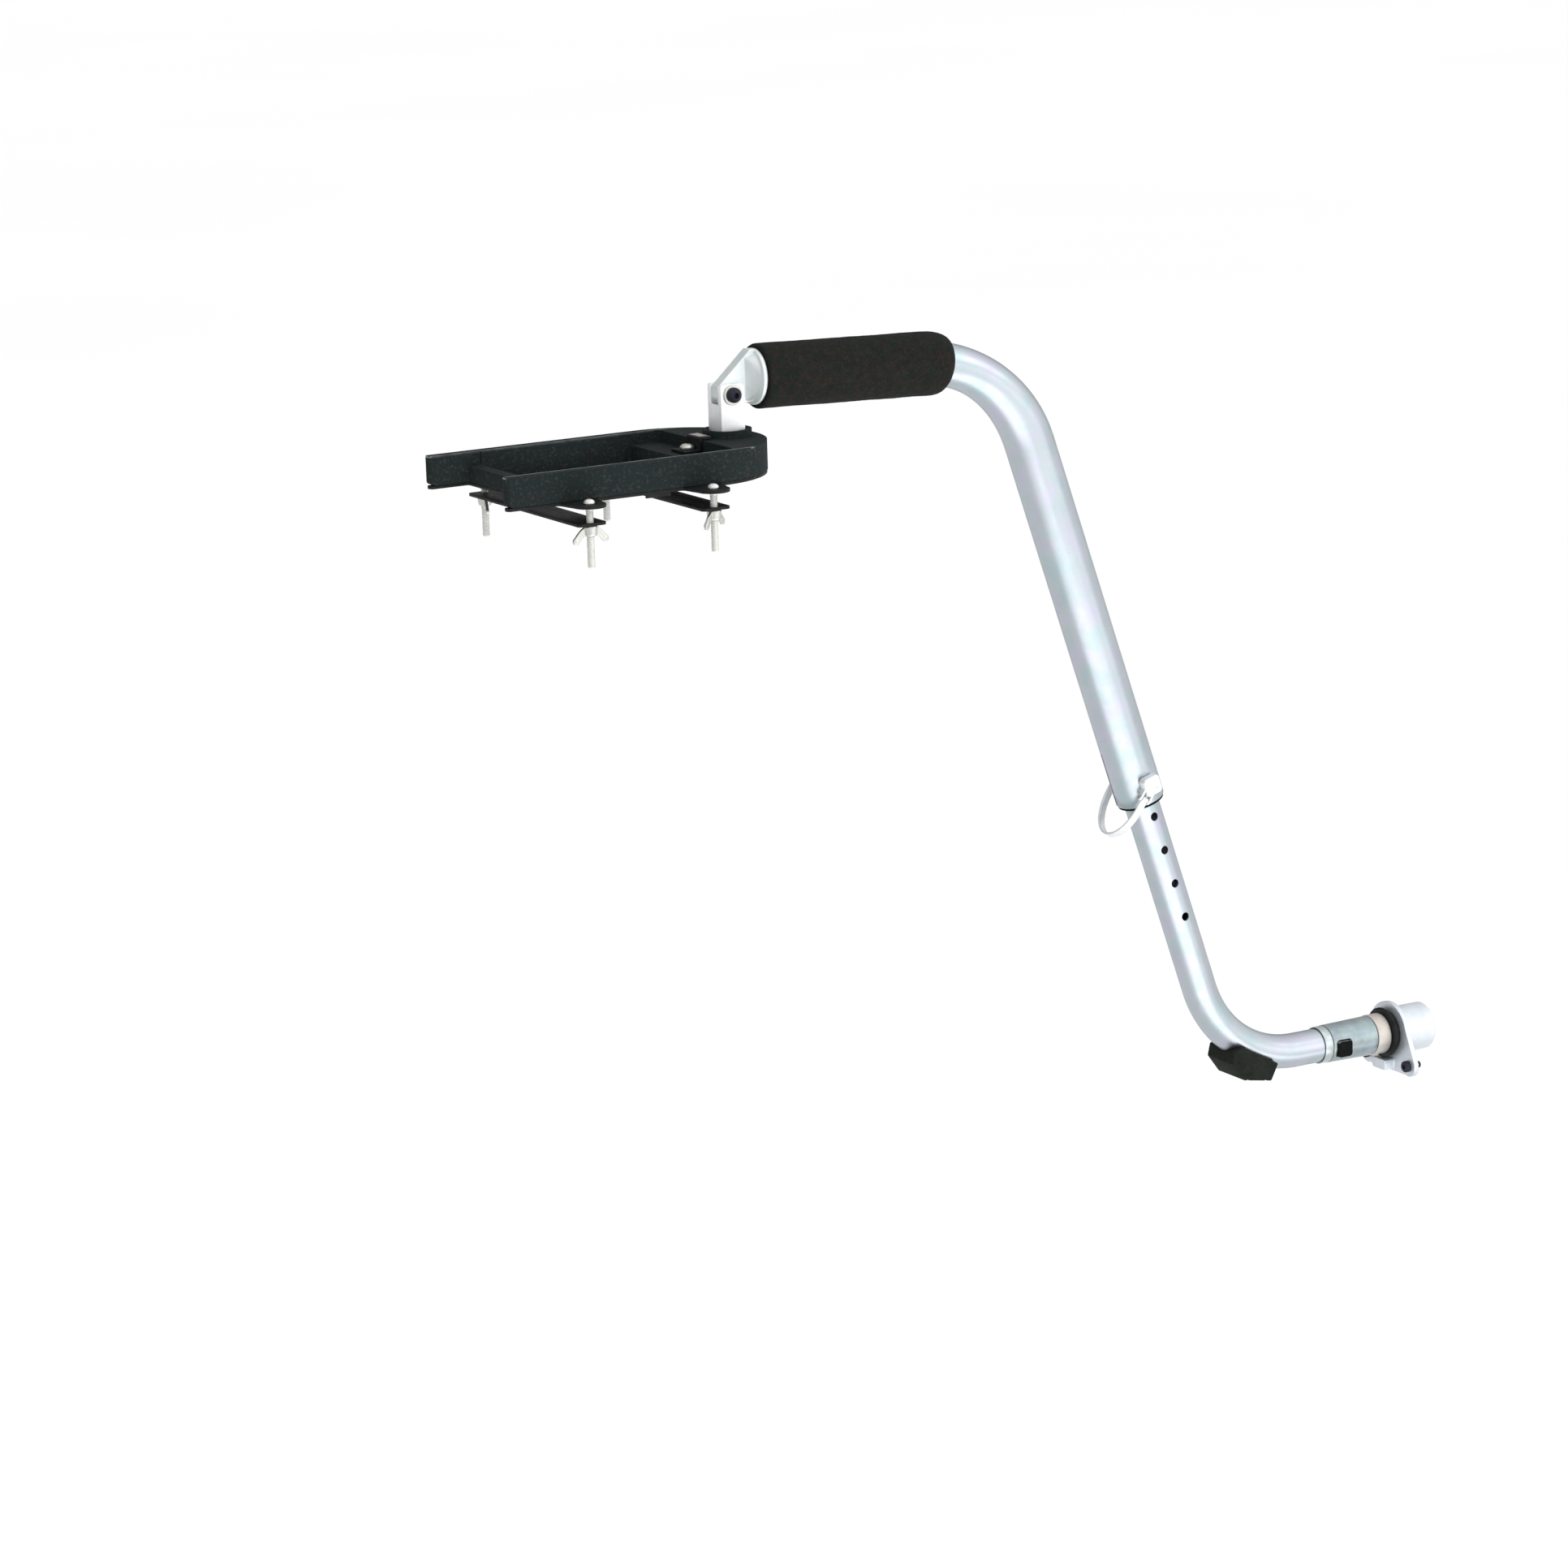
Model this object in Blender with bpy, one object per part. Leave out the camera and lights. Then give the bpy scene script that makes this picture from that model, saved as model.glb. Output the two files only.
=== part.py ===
"""Tow bar and rear-rack coupling of a bicycle dog trailer.

Frame: origin on the underside of the rack shoe, on the swivel axis.
+X points to the rear (towards the trailer), +Y to the right-hand side of
the direction of travel, +Z up.  All constants are millimetres or degrees.
"""
import bpy
import bmesh
from math import sin, cos, radians, pi, sqrt, atan2, tau
from mathutils import Vector, Matrix

MM = 0.001
GAP = 0.3                      # working clearance between touching pieces

# ------------------------------------------------------------------ rack shoe
SHOE_FRONT = -196.0            # front tip of the two side horns
SHOE_HALF_W = 60.0             # half width over the side walls
SHOE_REAR_C = -38.5            # centre of the rounded rear end
SHOE_TOP = 22.0                # height of the side walls
WALL = 8.0                     # side wall thickness
CROSS_X = (-168.0, -159.0)     # front cross wall
CROSS_TOP = 13.0
DECK_X = (-46.0, -24.0)        # low deck in front of the post platform
DECK_TOP = 14.0
PLATE_T = 2.0                  # steel base plate
WINDOW_X = (-150.0, -56.0)     # opening in the base plate
WINDOW_HALF_W = 40.0
COLLAR_R = 16.5                # raised collar round the post
COLLAR_TOP = 26.8
RECESS_R = 13.4
POCKET_R = 17.0                # pocket for the retaining nut, from below
POCKET_TOP = 11.2

# ---------------------------------------------------------------- rack clamps
BOLT_X = (-145.0, -53.5)       # front and rear clamp bolts
BOLT_Y = 75.0
EAR_R = 11.0
BOLT_D = 5.0
BOLT_TIP = -40.0
BAR_TOP = -10.0
BAR_T = 2.0
BAR_HALF_W = 10.5
BAR_HALF_L = 79.5
BAR_CORNER = 3.0

# ----------------------------------------------------------- post and knuckle
POST_W = 18.0
POST_BASE = 24.1
POST_TOP = 57.2
SPIGOT_D = 16.0
SLOT_FLOOR = 36.0
SLOT_HALF = 5.0
PIVOT_Z = 50.3
TONGUE_HALF = 4.6

# ------------------------------------------------------------------ upper arm
ARM_START = (22.4, 59.7)       # x, z of the grip's front end on the tube axis
ARM_TILT = 2.0                 # the grip falls this much to the rear
STRAIGHT_1 = 131.2
BEND_1_R = 93.0
TURN_1 = 69.8
STRAIGHT_2 = 277.3
NECK_D = 30.4                  # swaged end inside the grip
UPPER_D = 35.0
UPPER_WALL = 1.6
GRIP_L = 146.5
GRIP_D = 44.1

# ------------------------------------------------------------------ lower arm
LOWER_D = 25.0
LOWER_WALL = 2.0
LOWER_TOP = 180.0              # hidden end, measured along STRAIGHT_2
LOWER_BEND = 432.7
BEND_2_R = 87.0
PIN_S = 263.0                  # lock pin, measured along STRAIGHT_2
PITCH = 27.0                   # pitch of the row of holes
HOLES = range(-2, 5)
HOLE_D = 5.8
PIN_D = 5.2
BAIL_DIR = Vector((-0.53, 0, -0.848)).normalized()   # the bail hangs this way
BAIL_HINGE = (-21.2, 11.4)     # y, and distance from the pin axis along BAIL_DIR
BAIL_LEG = 15.0                # straight part of the bail, from the pin axis
BAIL_DROP = 28.0

# ---------------------------------------------------------------- trailer end
END_TUBE = 530.6
BAND_X = (475.8, 482.7)
SLEEVE_X = (483.0, 522.1)
SLEEVE_D = (27.8, 29.4)
BUTTON_X = 492.0
BUTTON = 12.6
BUTTON_DROP = 1.6              # the button sits this far below the tube axis
RING_X = (522.5, 534.2)
SEAL_X = (534.6, 540.6)
FLANGE_X = (541.0, 545.0)
SOCKET_END = 572.0
LOBE = (25.0, -21.0)           # y and z of the flange bolts from the tube axis
SEAL_R = 18.6


# ================================================================== utilities
def clear_scene():
    for ob in list(bpy.data.objects):
        bpy.data.objects.remove(ob, do_unlink=True)
    for me in list(bpy.data.meshes):
        bpy.data.meshes.remove(me)


def material(name, rgb, rough, metal):
    m = bpy.data.materials.new(name)
    m.use_nodes = True
    b = m.node_tree.nodes["Principled BSDF"]
    b.inputs["Base Color"].default_value = (*rgb, 1.0)
    b.inputs["Roughness"].default_value = rough
    b.inputs["Metallic"].default_value = metal
    return m


FINISH = {
    "moulded": ((0.014, 0.016, 0.017), 0.48, 0.0),
    "coated": ((0.012, 0.012, 0.013), 0.42, 0.3),
    "zinc": ((0.78, 0.78, 0.76), 0.28, 1.0),
    "bright": ((0.86, 0.87, 0.88), 0.20, 1.0),
    "cast": ((0.74, 0.76, 0.77), 0.42, 1.0),
    "alloy": ((0.70, 0.74, 0.78), 0.33, 1.0),
    "sleeve": ((0.50, 0.57, 0.57), 0.38, 1.0),
    "foam": ((0.018, 0.020, 0.020), 0.92, 0.0),
    "rubber": ((0.015, 0.015, 0.015), 0.70, 0.0),
    "nylon": ((0.60, 0.59, 0.55), 0.50, 0.0),
    "black_bolt": ((0.030, 0.030, 0.045), 0.30, 0.6),
}

BODIES = {}


def body(name, at):
    """Empty that carries the pieces of one moving body, on its joint axis."""
    e = bpy.data.objects.new("axis_" + name, None)
    e.empty_display_size = 0.02
    e.location = Vector(at) * MM
    bpy.context.scene.collection.objects.link(e)
    BODIES[name] = e
    return e


def mesh_object(name, bm, finish=None, on=None, sharp=32.0, cutter=False):
    bmesh.ops.remove_doubles(bm, verts=bm.verts, dist=1e-4)
    bmesh.ops.recalc_face_normals(bm, faces=bm.faces)
    if bm.calc_volume(signed=True) < 0:
        bmesh.ops.reverse_faces(bm, faces=bm.faces)
    me = bpy.data.meshes.new(name)
    shift = BODIES[on].location if on else Vector((0, 0, 0))
    bmesh.ops.scale(bm, vec=(MM, MM, MM), verts=bm.verts)
    bmesh.ops.translate(bm, vec=-shift, verts=bm.verts)
    bm.to_mesh(me)
    bm.free()
    me.shade_smooth()
    me.set_sharp_from_angle(angle=radians(sharp))
    ob = bpy.data.objects.new(name, me)
    bpy.context.scene.collection.objects.link(ob)
    if on:
        ob.parent = BODIES[on]
    if cutter:
        ob.hide_render = True
        ob.display_type = 'WIRE'
    else:
        rgb, rough, metal = FINISH[finish]
        me.materials.append(material(name + "_finish", rgb, rough, metal))
    return ob


def cut(ob, tool, operation='DIFFERENCE'):
    m = ob.modifiers.new(tool.name, 'BOOLEAN')
    m.operation = operation
    m.solver = 'EXACT'
    m.object = tool
    return m


def frame_axes(axis):
    """Two unit vectors square to the axis."""
    w = Vector(axis).normalized()
    ref = Vector((0, 1, 0)) if abs(w.y) < 0.9 else Vector((1, 0, 0))
    u = ref.cross(w).normalized()
    return u, w.cross(u).normalized(), w


def turned(bm, profile, at, axis, seg=24, start=0.0):
    """Turned solid: closed profile of (radius, height) about an axis."""
    u, v, w = frame_axes(axis)
    at = Vector(at)
    rings = []
    for r, h in profile:
        if r < 1e-6:
            rings.append([bm.verts.new(at + w * h)])
        else:
            rings.append([bm.verts.new(at + w * h + r * (cos(start + tau * k / seg) * u
                                                        + sin(start + tau * k / seg) * v))
                          for k in range(seg)])
    n = len(rings)
    for i in range(n):
        a, b = rings[i], rings[(i + 1) % n]
        if len(a) == 1 and len(b) == 1:
            continue
        for k in range(seg):
            k2 = (k + 1) % seg
            if len(a) == 1:
                bm.faces.new((a[0], b[k2], b[k]))
            elif len(b) == 1:
                bm.faces.new((a[k], a[k2], b[0]))
            else:
                bm.faces.new((a[k], a[k2], b[k2], b[k]))
    return bm


def rod(r, length, start=0.0):
    """Solid cylinder profile from height start to start + length."""
    return [(0, start), (r, start), (r, start + length), (0, start + length)]


def ring(r_in, r_out, h0, h1, c=0.0):
    """Ring profile with an outer chamfer c."""
    if c <= 0:
        return [(r_in, h0), (r_out, h0), (r_out, h1), (r_in, h1)]
    return [(r_in, h0), (r_out - c, h0), (r_out, h0 + c), (r_out, h1 - c), (r_out - c, h1), (r_in, h1)]


def prism(bm, outline, lo, hi, plane='XY'):
    """Straight prism of a closed outline between two levels."""
    def pt(a, b, c):
        return (a, b, c) if plane == 'XY' else ((a, c, b) if plane == 'XZ' else (c, a, b))
    low = [bm.verts.new(pt(a, b, lo)) for a, b in outline]
    top = [bm.verts.new(pt(a, b, hi)) for a, b in outline]
    bm.faces.new(low)
    bm.faces.new(top)
    n = len(outline)
    for i in range(n):
        bm.faces.new((low[i], low[(i + 1) % n], top[(i + 1) % n], top[i]))
    return bm


def arc(cx, cy, r, a0, a1, n):
    return [(cx + r * cos(radians(a0 + (a1 - a0) * i / n)),
             cy + r * sin(radians(a0 + (a1 - a0) * i / n))) for i in range(n + 1)]


def rounded_box(x0, x1, y0, y1, r, n=5):
    return (arc(x1 - r, y0 + r, r, -90, 0, n) + arc(x1 - r, y1 - r, r, 0, 90, n)
            + arc(x0 + r, y1 - r, r, 90, 180, n) + arc(x0 + r, y0 + r, r, 180, 270, n))


def new():
    return bmesh.new()


def box(bm, x0, x1, y0, y1, z0, z1):
    return prism(bm, [(x0, y0), (x1, y0), (x1, y1), (x0, y1)], z0, z1)


# ======================================================== centre lines of arm
def heading(deg):
    return Vector((cos(radians(deg)), 0, sin(radians(deg))))


A0 = -ARM_TILT
A1 = A0 - TURN_1
P_START = Vector((ARM_START[0], 0, ARM_START[1]))
P_BEND1 = P_START + heading(A0) * STRAIGHT_1
C_BEND1 = P_BEND1 + heading(A0 - 90) * BEND_1_R
P_LONG = C_BEND1 + heading(A1 + 90) * BEND_1_R        # start of the long straight
LONG = heading(A1)                                    # direction of the telescope
P_BEND2 = P_LONG + LONG * LOWER_BEND
C_BEND2 = P_BEND2 + heading(A1 + 90) * BEND_2_R
P_LEVEL = C_BEND2 + Vector((0, 0, -BEND_2_R))
END_Z = P_LEVEL.z
END_AXIS = Vector((1, 0, 0))
ARC_1 = BEND_1_R * radians(TURN_1)


def upper_point(s):
    """Point and direction of the upper centre line at distance s."""
    if s <= STRAIGHT_1:
        return P_START + heading(A0) * s, heading(A0)
    if s <= STRAIGHT_1 + ARC_1:
        a = A0 - (s - STRAIGHT_1) / ARC_1 * TURN_1
        return C_BEND1 + heading(a + 90) * BEND_1_R, heading(a)
    return P_LONG + LONG * (s - STRAIGHT_1 - ARC_1), LONG


def lower_points(bend_steps=11):
    pts = [(P_LONG + LONG * LOWER_TOP, LONG), (P_BEND2, LONG)]
    for i in range(1, bend_steps + 1):
        a = A1 + (0 - A1) * i / bend_steps
        pts.append((C_BEND2 + heading(a - 90) * BEND_2_R, heading(a)))
    pts.append((Vector((END_TUBE, 0, END_Z)), END_AXIS))
    return pts


def sweep(bm, stations, seg=32, start=0.0):
    """Loft closed rings along a plane curve; stations are (point, direction,
    outer radius, inner radius or None)."""
    outer, inner = [], []
    y = Vector((0, 1, 0))
    for p, d, ro, ri in stations:
        n = y.cross(d).normalized()
        outer.append([bm.verts.new(p + ro * (cos(start + tau * k / seg) * n + sin(start + tau * k / seg) * y))
                      for k in range(seg)])
        if ri is not None:
            inner.append([bm.verts.new(p + ri * (cos(start + tau * k / seg) * n + sin(start + tau * k / seg) * y))
                          for k in range(seg)])

    def skin(rings):
        for a, b in zip(rings, rings[1:]):
            for k in range(seg):
                bm.faces.new((a[k], a[(k + 1) % seg], b[(k + 1) % seg], b[k]))
    skin(outer)
    if inner:
        skin(inner)
        for a, b in ((outer[0], inner[0]), (outer[-1], inner[-1])):
            for k in range(seg):
                bm.faces.new((a[k], a[(k + 1) % seg], b[(k + 1) % seg], b[k]))
    else:
        bm.faces.new(outer[0])
        bm.faces.new(outer[-1])
    return bm


def smooth(t):
    t = min(1.0, max(0.0, t))
    return t * t * (3 - 2 * t)


# =================================================================== the shoe
def shoe_outline(inset=0.0, ears=False):
    """Plan of the shoe: straight sides, round rear, open front with horns."""
    w = SHOE_HALF_W - inset
    pts = [(SHOE_FRONT + inset, -w)]
    if ears:
        for x in BOLT_X:
            pts += [(x - EAR_R, -w)]
            pts += arc(x, -BOLT_Y, EAR_R, 180, 360, 8)
            pts += [(x + EAR_R, -w)]
    pts += arc(SHOE_REAR_C, 0, w, -90, 90, 24)
    if ears:
        for x in reversed(BOLT_X):
            pts += [(x + EAR_R, w)]
            pts += arc(x, BOLT_Y, EAR_R, 0, 180, 8)
            pts += [(x - EAR_R, w)]
    pts += [(SHOE_FRONT + inset, w)]
    inner = SHOE_HALF_W - WALL + inset
    pts += [(SHOE_FRONT + inset, inner), (CROSS_X[0] + inset, inner),
            (CROSS_X[0] + inset, -inner), (SHOE_FRONT + inset, -inner)]
    return pts


def build_shoe():
    plate = mesh_object("base_plate", prism(new(), shoe_outline(0.4, True), 0, PLATE_T), "coated")
    bm = new()
    prism(bm, rounded_box(WINDOW_X[0], WINDOW_X[1], -WINDOW_HALF_W, WINDOW_HALF_W, 10), -3, 6)
    for x in BOLT_X:
        for y in (-BOLT_Y, BOLT_Y):
            turned(bm, rod(BOLT_D / 2 + GAP, 12, -6), (x, y, 0), (0, 0, 1), 12)
    turned(bm, rod(2.8, 12, -6), (-31, 0, 0), (0, 0, 1), 12)
    turned(bm, rod(2.3, 12, -6), (-163.5, 0, 0), (0, 0, 1), 12)
    cut(plate, mesh_object("cut_plate", bm, cutter=True))
    # one short locating tab folded down on each side
    bm = new()
    for s in (-1, 1):
        y0, y1 = sorted((s * 57.4, s * 59.4))
        box(bm, -94.5, -76.5, y0, y1, -2.3, 1.0)
    cut(plate, mesh_object("add_tabs", bm, cutter=True), 'UNION')

    frame = mesh_object("shoe_frame", prism(new(), shoe_outline(), PLATE_T + GAP, SHOE_TOP), "moulded", sharp=25)
    bm = new()                                             # collar round the post
    turned(bm, rod(COLLAR_R, COLLAR_TOP - 18, 18), (0, 0, 0), (0, 0, 1), 32)
    cut(frame, mesh_object("add_collar", bm, cutter=True), 'UNION')
    inner = SHOE_HALF_W - WALL
    bm = new()                                             # well between the walls
    well = [(CROSS_X[1], -inner), (DECK_X[0], -inner), (DECK_X[0], inner), (CROSS_X[1], inner)]
    prism(bm, well, -5, 40)
    cut(frame, mesh_object("cut_well", bm, cutter=True))
    bm = new()                                             # cross wall is lower
    prism(bm, [(CROSS_X[0] - 3, -inner), (CROSS_X[1] + 1, -inner),
               (CROSS_X[1] + 1, inner), (CROSS_X[0] - 3, inner)], CROSS_TOP, 40)
    prism(bm, [(DECK_X[0] - 1, -inner + 0.02), (DECK_X[1], -inner + 0.02),
               (DECK_X[1], inner - 0.02), (DECK_X[0] - 1, inner - 0.02)], DECK_TOP, 40)
    cut(frame, mesh_object("cut_deck", bm, cutter=True))
    bm = new()                                             # bore, recess, pocket
    turned(bm, [(0, -2), (POCKET_R, -2), (POCKET_R, POCKET_TOP), (10.3, POCKET_TOP), (10.3, 22.3),
                (RECESS_R, 22.3), (RECESS_R, 40), (0, 40)], (0, 0, 0), (0, 0, 1), 28)
    turned(bm, rod(2.8, 30, -6), (-31, 0, 0), (0, 0, 1), 12)
    turned(bm, rod(2.3, 10.5, -0.5), (-163.5, 0, 0), (0, 0, 1), 12)
    cut(frame, mesh_object("cut_bores", bm, cutter=True))

    # swivel bush, held in the platform
    mesh_object("swivel_bush", turned(new(), ring(8.3, 10.0, 11.5, 22.2), (0, 0, 0), (0, 0, 1), 20), "nylon")
    # stop bracket held by the deck screw
    bm = new()
    prism(bm, [(-38, 14.3), (-24.3, 14.3), (-24.3, 22.3), (-17.3, 22.3), (-17.3, 24.5),
               (-26.1, 24.5), (-26.1, 16.1), (-38, 16.1)], -9, 9, 'XZ')
    stop = mesh_object("stop_bracket", bm, "zinc")
    cut(stop, mesh_object("cut_stop", turned(new(), rod(2.8, 20, 5), (-31, 0, 0), (0, 0, 1), 12), cutter=True))
    # deck screw and front screw
    mesh_object("deck_screw", turned(new(), [(0, 0.4), (2.5, 0.4), (2.5, 16.4), (4.9, 16.4), (4.9, 18.2),
                                             (4.2, 19.1), (2.4, 19.6), (0, 19.7)],
                                     (-31, 0, 0), (0, 0, 1), 16), "bright")
    mesh_object("front_screw", turned(new(), [(0, -3.2), (2.4, -3.0), (3.5, -2.2), (3.5, -0.3), (2.0, -0.3),
                                              (2.0, 9.2), (0, 9.2)], (-163.5, 0, 0), (0, 0, 1), 12), "bright")


def build_clamps():
    head = PLATE_T + GAP
    names = {(0, -1): "front_left", (0, 1): "front_right", (1, -1): "rear_left", (1, 1): "rear_right"}
    for i, x in enumerate(BOLT_X):
        where = "front" if i == 0 else "rear"
        for s in (-1, 1):
            prof = [(0, BOLT_TIP), (2.5, BOLT_TIP), (2.5, head), (3.6, head),
                    (3.6, head + 0.9), (2.8, head + 2.3), (0, head + 2.9)]
            mesh_object("clamp_bolt_" + names[i, s], turned(new(), prof, (x, s * BOLT_Y, 0), (0, 0, 1), 14), "bright")
        body("bar_" + where, (x, 0, BAR_TOP))
        bar = mesh_object("clamp_bar_" + where,
                          prism(new(), rounded_box(x - BAR_HALF_W, x + BAR_HALF_W, -BAR_HALF_L, BAR_HALF_L,
                                                   BAR_CORNER), BAR_TOP - BAR_T, BAR_TOP),
                          "coated", on="bar_" + where)
        bm = new()
        for s in (-1, 1):
            turned(bm, rod(BOLT_D / 2 + GAP, 12, BAR_TOP - 7), (x, s * BOLT_Y, 0), (0, 0, 1), 12)
        cut(bar, mesh_object("cut_bar_" + where, bm, cutter=True))
        for s in (-1, 1):
            wing_nut("wing_nut_" + names[i, s], x, s * BOLT_Y,
                     {(0, -1): 4.0, (0, 1): 70.0, (1, -1): 33.0, (1, 1): -20.0}[i, s])


def wing_nut(name, x, y, turn):
    """Wing nut hanging under the bar; the wings point down."""
    top = BAR_TOP - BAR_T - GAP
    body(name, (x, y, top))
    hub = mesh_object(name, turned(new(), [(0, top - 6.6), (3.9, top - 6.6), (4.4, top - 6.0), (5.0, top - 0.5),
                                           (4.6, top), (0, top)], (x, y, 0), (0, 0, 1), 14), "bright", on=name)
    side = [(2.0, -0.9), (5.6, -0.9), (8.2, -3.0), (11.6, -6.2)]
    tip = arc(11.0, -9.2, 2.3, 62, -120, 5)
    back = [(7.4, -8.4), (5.2, -6.4), (2.0, -5.6)]
    half = side + tip + back
    outline = half + [(-a, b) for a, b in reversed(half)]
    bm = new()
    prism(bm, [(a, top + b) for a, b in outline], -1.15, 1.15, 'XZ')
    bmesh.ops.rotate(bm, cent=(0, 0, 0), matrix=Matrix.Rotation(radians(turn), 3, 'Z'), verts=bm.verts)
    bmesh.ops.translate(bm, vec=(x, y, 0), verts=bm.verts)
    cut(hub, mesh_object("add_wings_" + name, bm, cutter=True), 'UNION')
    cut(hub, mesh_object("cut_" + name, turned(new(), rod(BOLT_D / 2 + GAP, 30, top - 20), (x, y, 0), (0, 0, 1), 12),
                         cutter=True))


# ========================================================== post and knuckle
def build_post():
    body("swivel", (0, 0, POST_BASE))
    h = POST_W / 2
    bm = new()
    prism(bm, [(-h, POST_BASE), (h, POST_BASE), (h, POST_TOP - 2), (h - 2, POST_TOP),
               (-h + 1, POST_TOP), (-h, POST_TOP - 1)], -h, h, 'XZ')
    post = mesh_object("post", bm, "cast", on="swivel")
    cut(post, mesh_object("add_spigot", turned(new(), rod(SPIGOT_D / 2, POST_BASE + 2 - 2.6, 2.6),
                                               (0, 0, 0), (0, 0, 1), 24), cutter=True), 'UNION')
    # slot open to the rear and the top; the front keeps a low wall, hollowed round
    # the pivot where the tongue turns
    bm = new()
    r = 10.5
    slot = [(20, SLOT_FLOOR), (20, 80), (-20, 80), (-20, PIVOT_Z - 0.6 * r)] + arc(0, PIVOT_Z, r, 216.87, 264.53, 5)
    prism(bm, slot + [(-r * 0.0953, SLOT_FLOOR)], -SLOT_HALF, SLOT_HALF, 'XZ')
    cut(post, mesh_object("cut_slot", bm, cutter=True))
    cut(post, mesh_object("cut_pivot", turned(new(), rod(3.3, 60, -30), (0, 0, PIVOT_Z), (0, 1, 0), 18), cutter=True))
    for ob, prof in (("post_washer", ring(8.3, 13.0, 22.6, 23.8)), ("retaining_washer", ring(8.3, 14.0, 8.9, 10.9))):
        mesh_object(ob, turned(new(), prof, (0, 0, 0), (0, 0, 1), 20), "zinc", on="swivel")
    hexagon = [(13.8 * cos(radians(60 * k)), 13.8 * sin(radians(60 * k))) for k in range(6)]
    nut = mesh_object("post_nut", prism(new(), hexagon, 2.6, 8.6), "zinc", on="swivel")
    cut(nut, mesh_object("cut_post_nut", turned(new(), rod(SPIGOT_D / 2 + GAP, 30, -5), (0, 0, 0), (0, 0, 1), 20),
                         cutter=True))
    # pivot bolt from the left, nut on the right
    y = -1
    for nm, prof, fin in (("pivot_washer_left", ring(3.3, 7.0, h + GAP, h + 1.3), "bright"),
                          ("pivot_washer_right", ring(3.3, 7.0, -h - 1.3, -h - GAP), "bright")):
        mesh_object(nm, turned(new(), prof, (0, 0, PIVOT_Z), (0, y, 0), 16), fin, on="swivel")
    prof = [(0, -19.5), (3.0, -19.5), (3.0, 10.6), (5.1, 10.6), (5.1, 12.2), (4.3, 13.4), (2.6, 14.1), (0, 14.3)]
    mesh_object("pivot_bolt", turned(new(), prof, (0, 0, PIVOT_Z), (0, y, 0), 16), "black_bolt", on="swivel")
    hexagon = [(5.6 * cos(radians(60 * k)), PIVOT_Z + 5.6 * sin(radians(60 * k))) for k in range(6)]
    nut = mesh_object("pivot_nut", prism(new(), hexagon, 10.6, 16.2, 'XZ'), "zinc", on="swivel")
    cut(nut, mesh_object("cut_pivot_nut", turned(new(), rod(3.3, 40, -20), (0, 0, PIVOT_Z), (0, 1, 0), 16),
                         cutter=True))


def build_knuckle():
    body("pitch", (0, 0, PIVOT_Z))
    d = heading(A0)
    up = Vector((0, 1, 0)).cross(d) * -1                  # square to the grip axis, upwards
    if up.z < 0:
        up = -up
    outline = arc(0, PIVOT_Z, 9.2, 176, 300, 12) + [(12.5, 43.5), (20.4, 43.5), (20.4, 78.4), (16.8, 78.7),
                                                    (-8.6, 55.6)]
    bm = new()
    prism(bm, outline, -TONGUE_HALF, TONGUE_HALF, 'XZ')
    knuckle = mesh_object("knuckle", bm, "cast", on="pitch", sharp=28)
    # cast flare from the tongue into the round flange
    bm = new()
    pts = [Vector((12.2, s * TONGUE_HALF, z)) for s in (-1, 1) for z in (45.0, 73.4)]
    c = P_START - d * 2.6
    pts += [c + 17.2 * (cos(tau * k / 24) * up + sin(tau * k / 24) * Vector((0, 1, 0))) for k in range(24)]
    hull = [bm.verts.new(p) for p in pts]
    bmesh.ops.convex_hull(bm, input=hull)
    cut(knuckle, mesh_object("add_flare", bm, cutter=True), 'UNION')
    # flange and spigot
    cut(knuckle, mesh_object("add_flange", turned(new(), [(0, -3.6), (18.2, -3.6), (19.0, -2.8), (19.0, -0.3),
                                                          (11.0, -0.3), (11.0, 43.0), (10.2, 44.0), (0, 44.0)],
                                                  P_START, d, 28), cutter=True), 'UNION')
    bm = new()
    turned(bm, rod(4.2, 60, -30), (0, 0, PIVOT_Z), (0, 1, 0), 16)
    turned(bm, rod(4.3, 36, 14), P_START, d, 14)
    cut(knuckle, mesh_object("cut_knuckle", bm, cutter=True))
    mesh_object("pivot_sleeve", turned(new(), ring(3.3, 3.9, -4.6, 4.6), (0, 0, PIVOT_Z), (0, 1, 0), 16),
                "zinc", on="pitch")
    mesh_object("spigot_washer", turned(new(), ring(4.3, 13.2, 44.4, 46.4), P_START, d, 20), "zinc", on="pitch")
    mesh_object("spigot_bolt", turned(new(), [(0, 16), (4.0, 16), (4.0, 46.7), (6.8, 46.7), (6.8, 52), (6.2, 52.6),
                                              (0, 52.6)], P_START, d, 14), "zinc", on="pitch")


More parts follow.
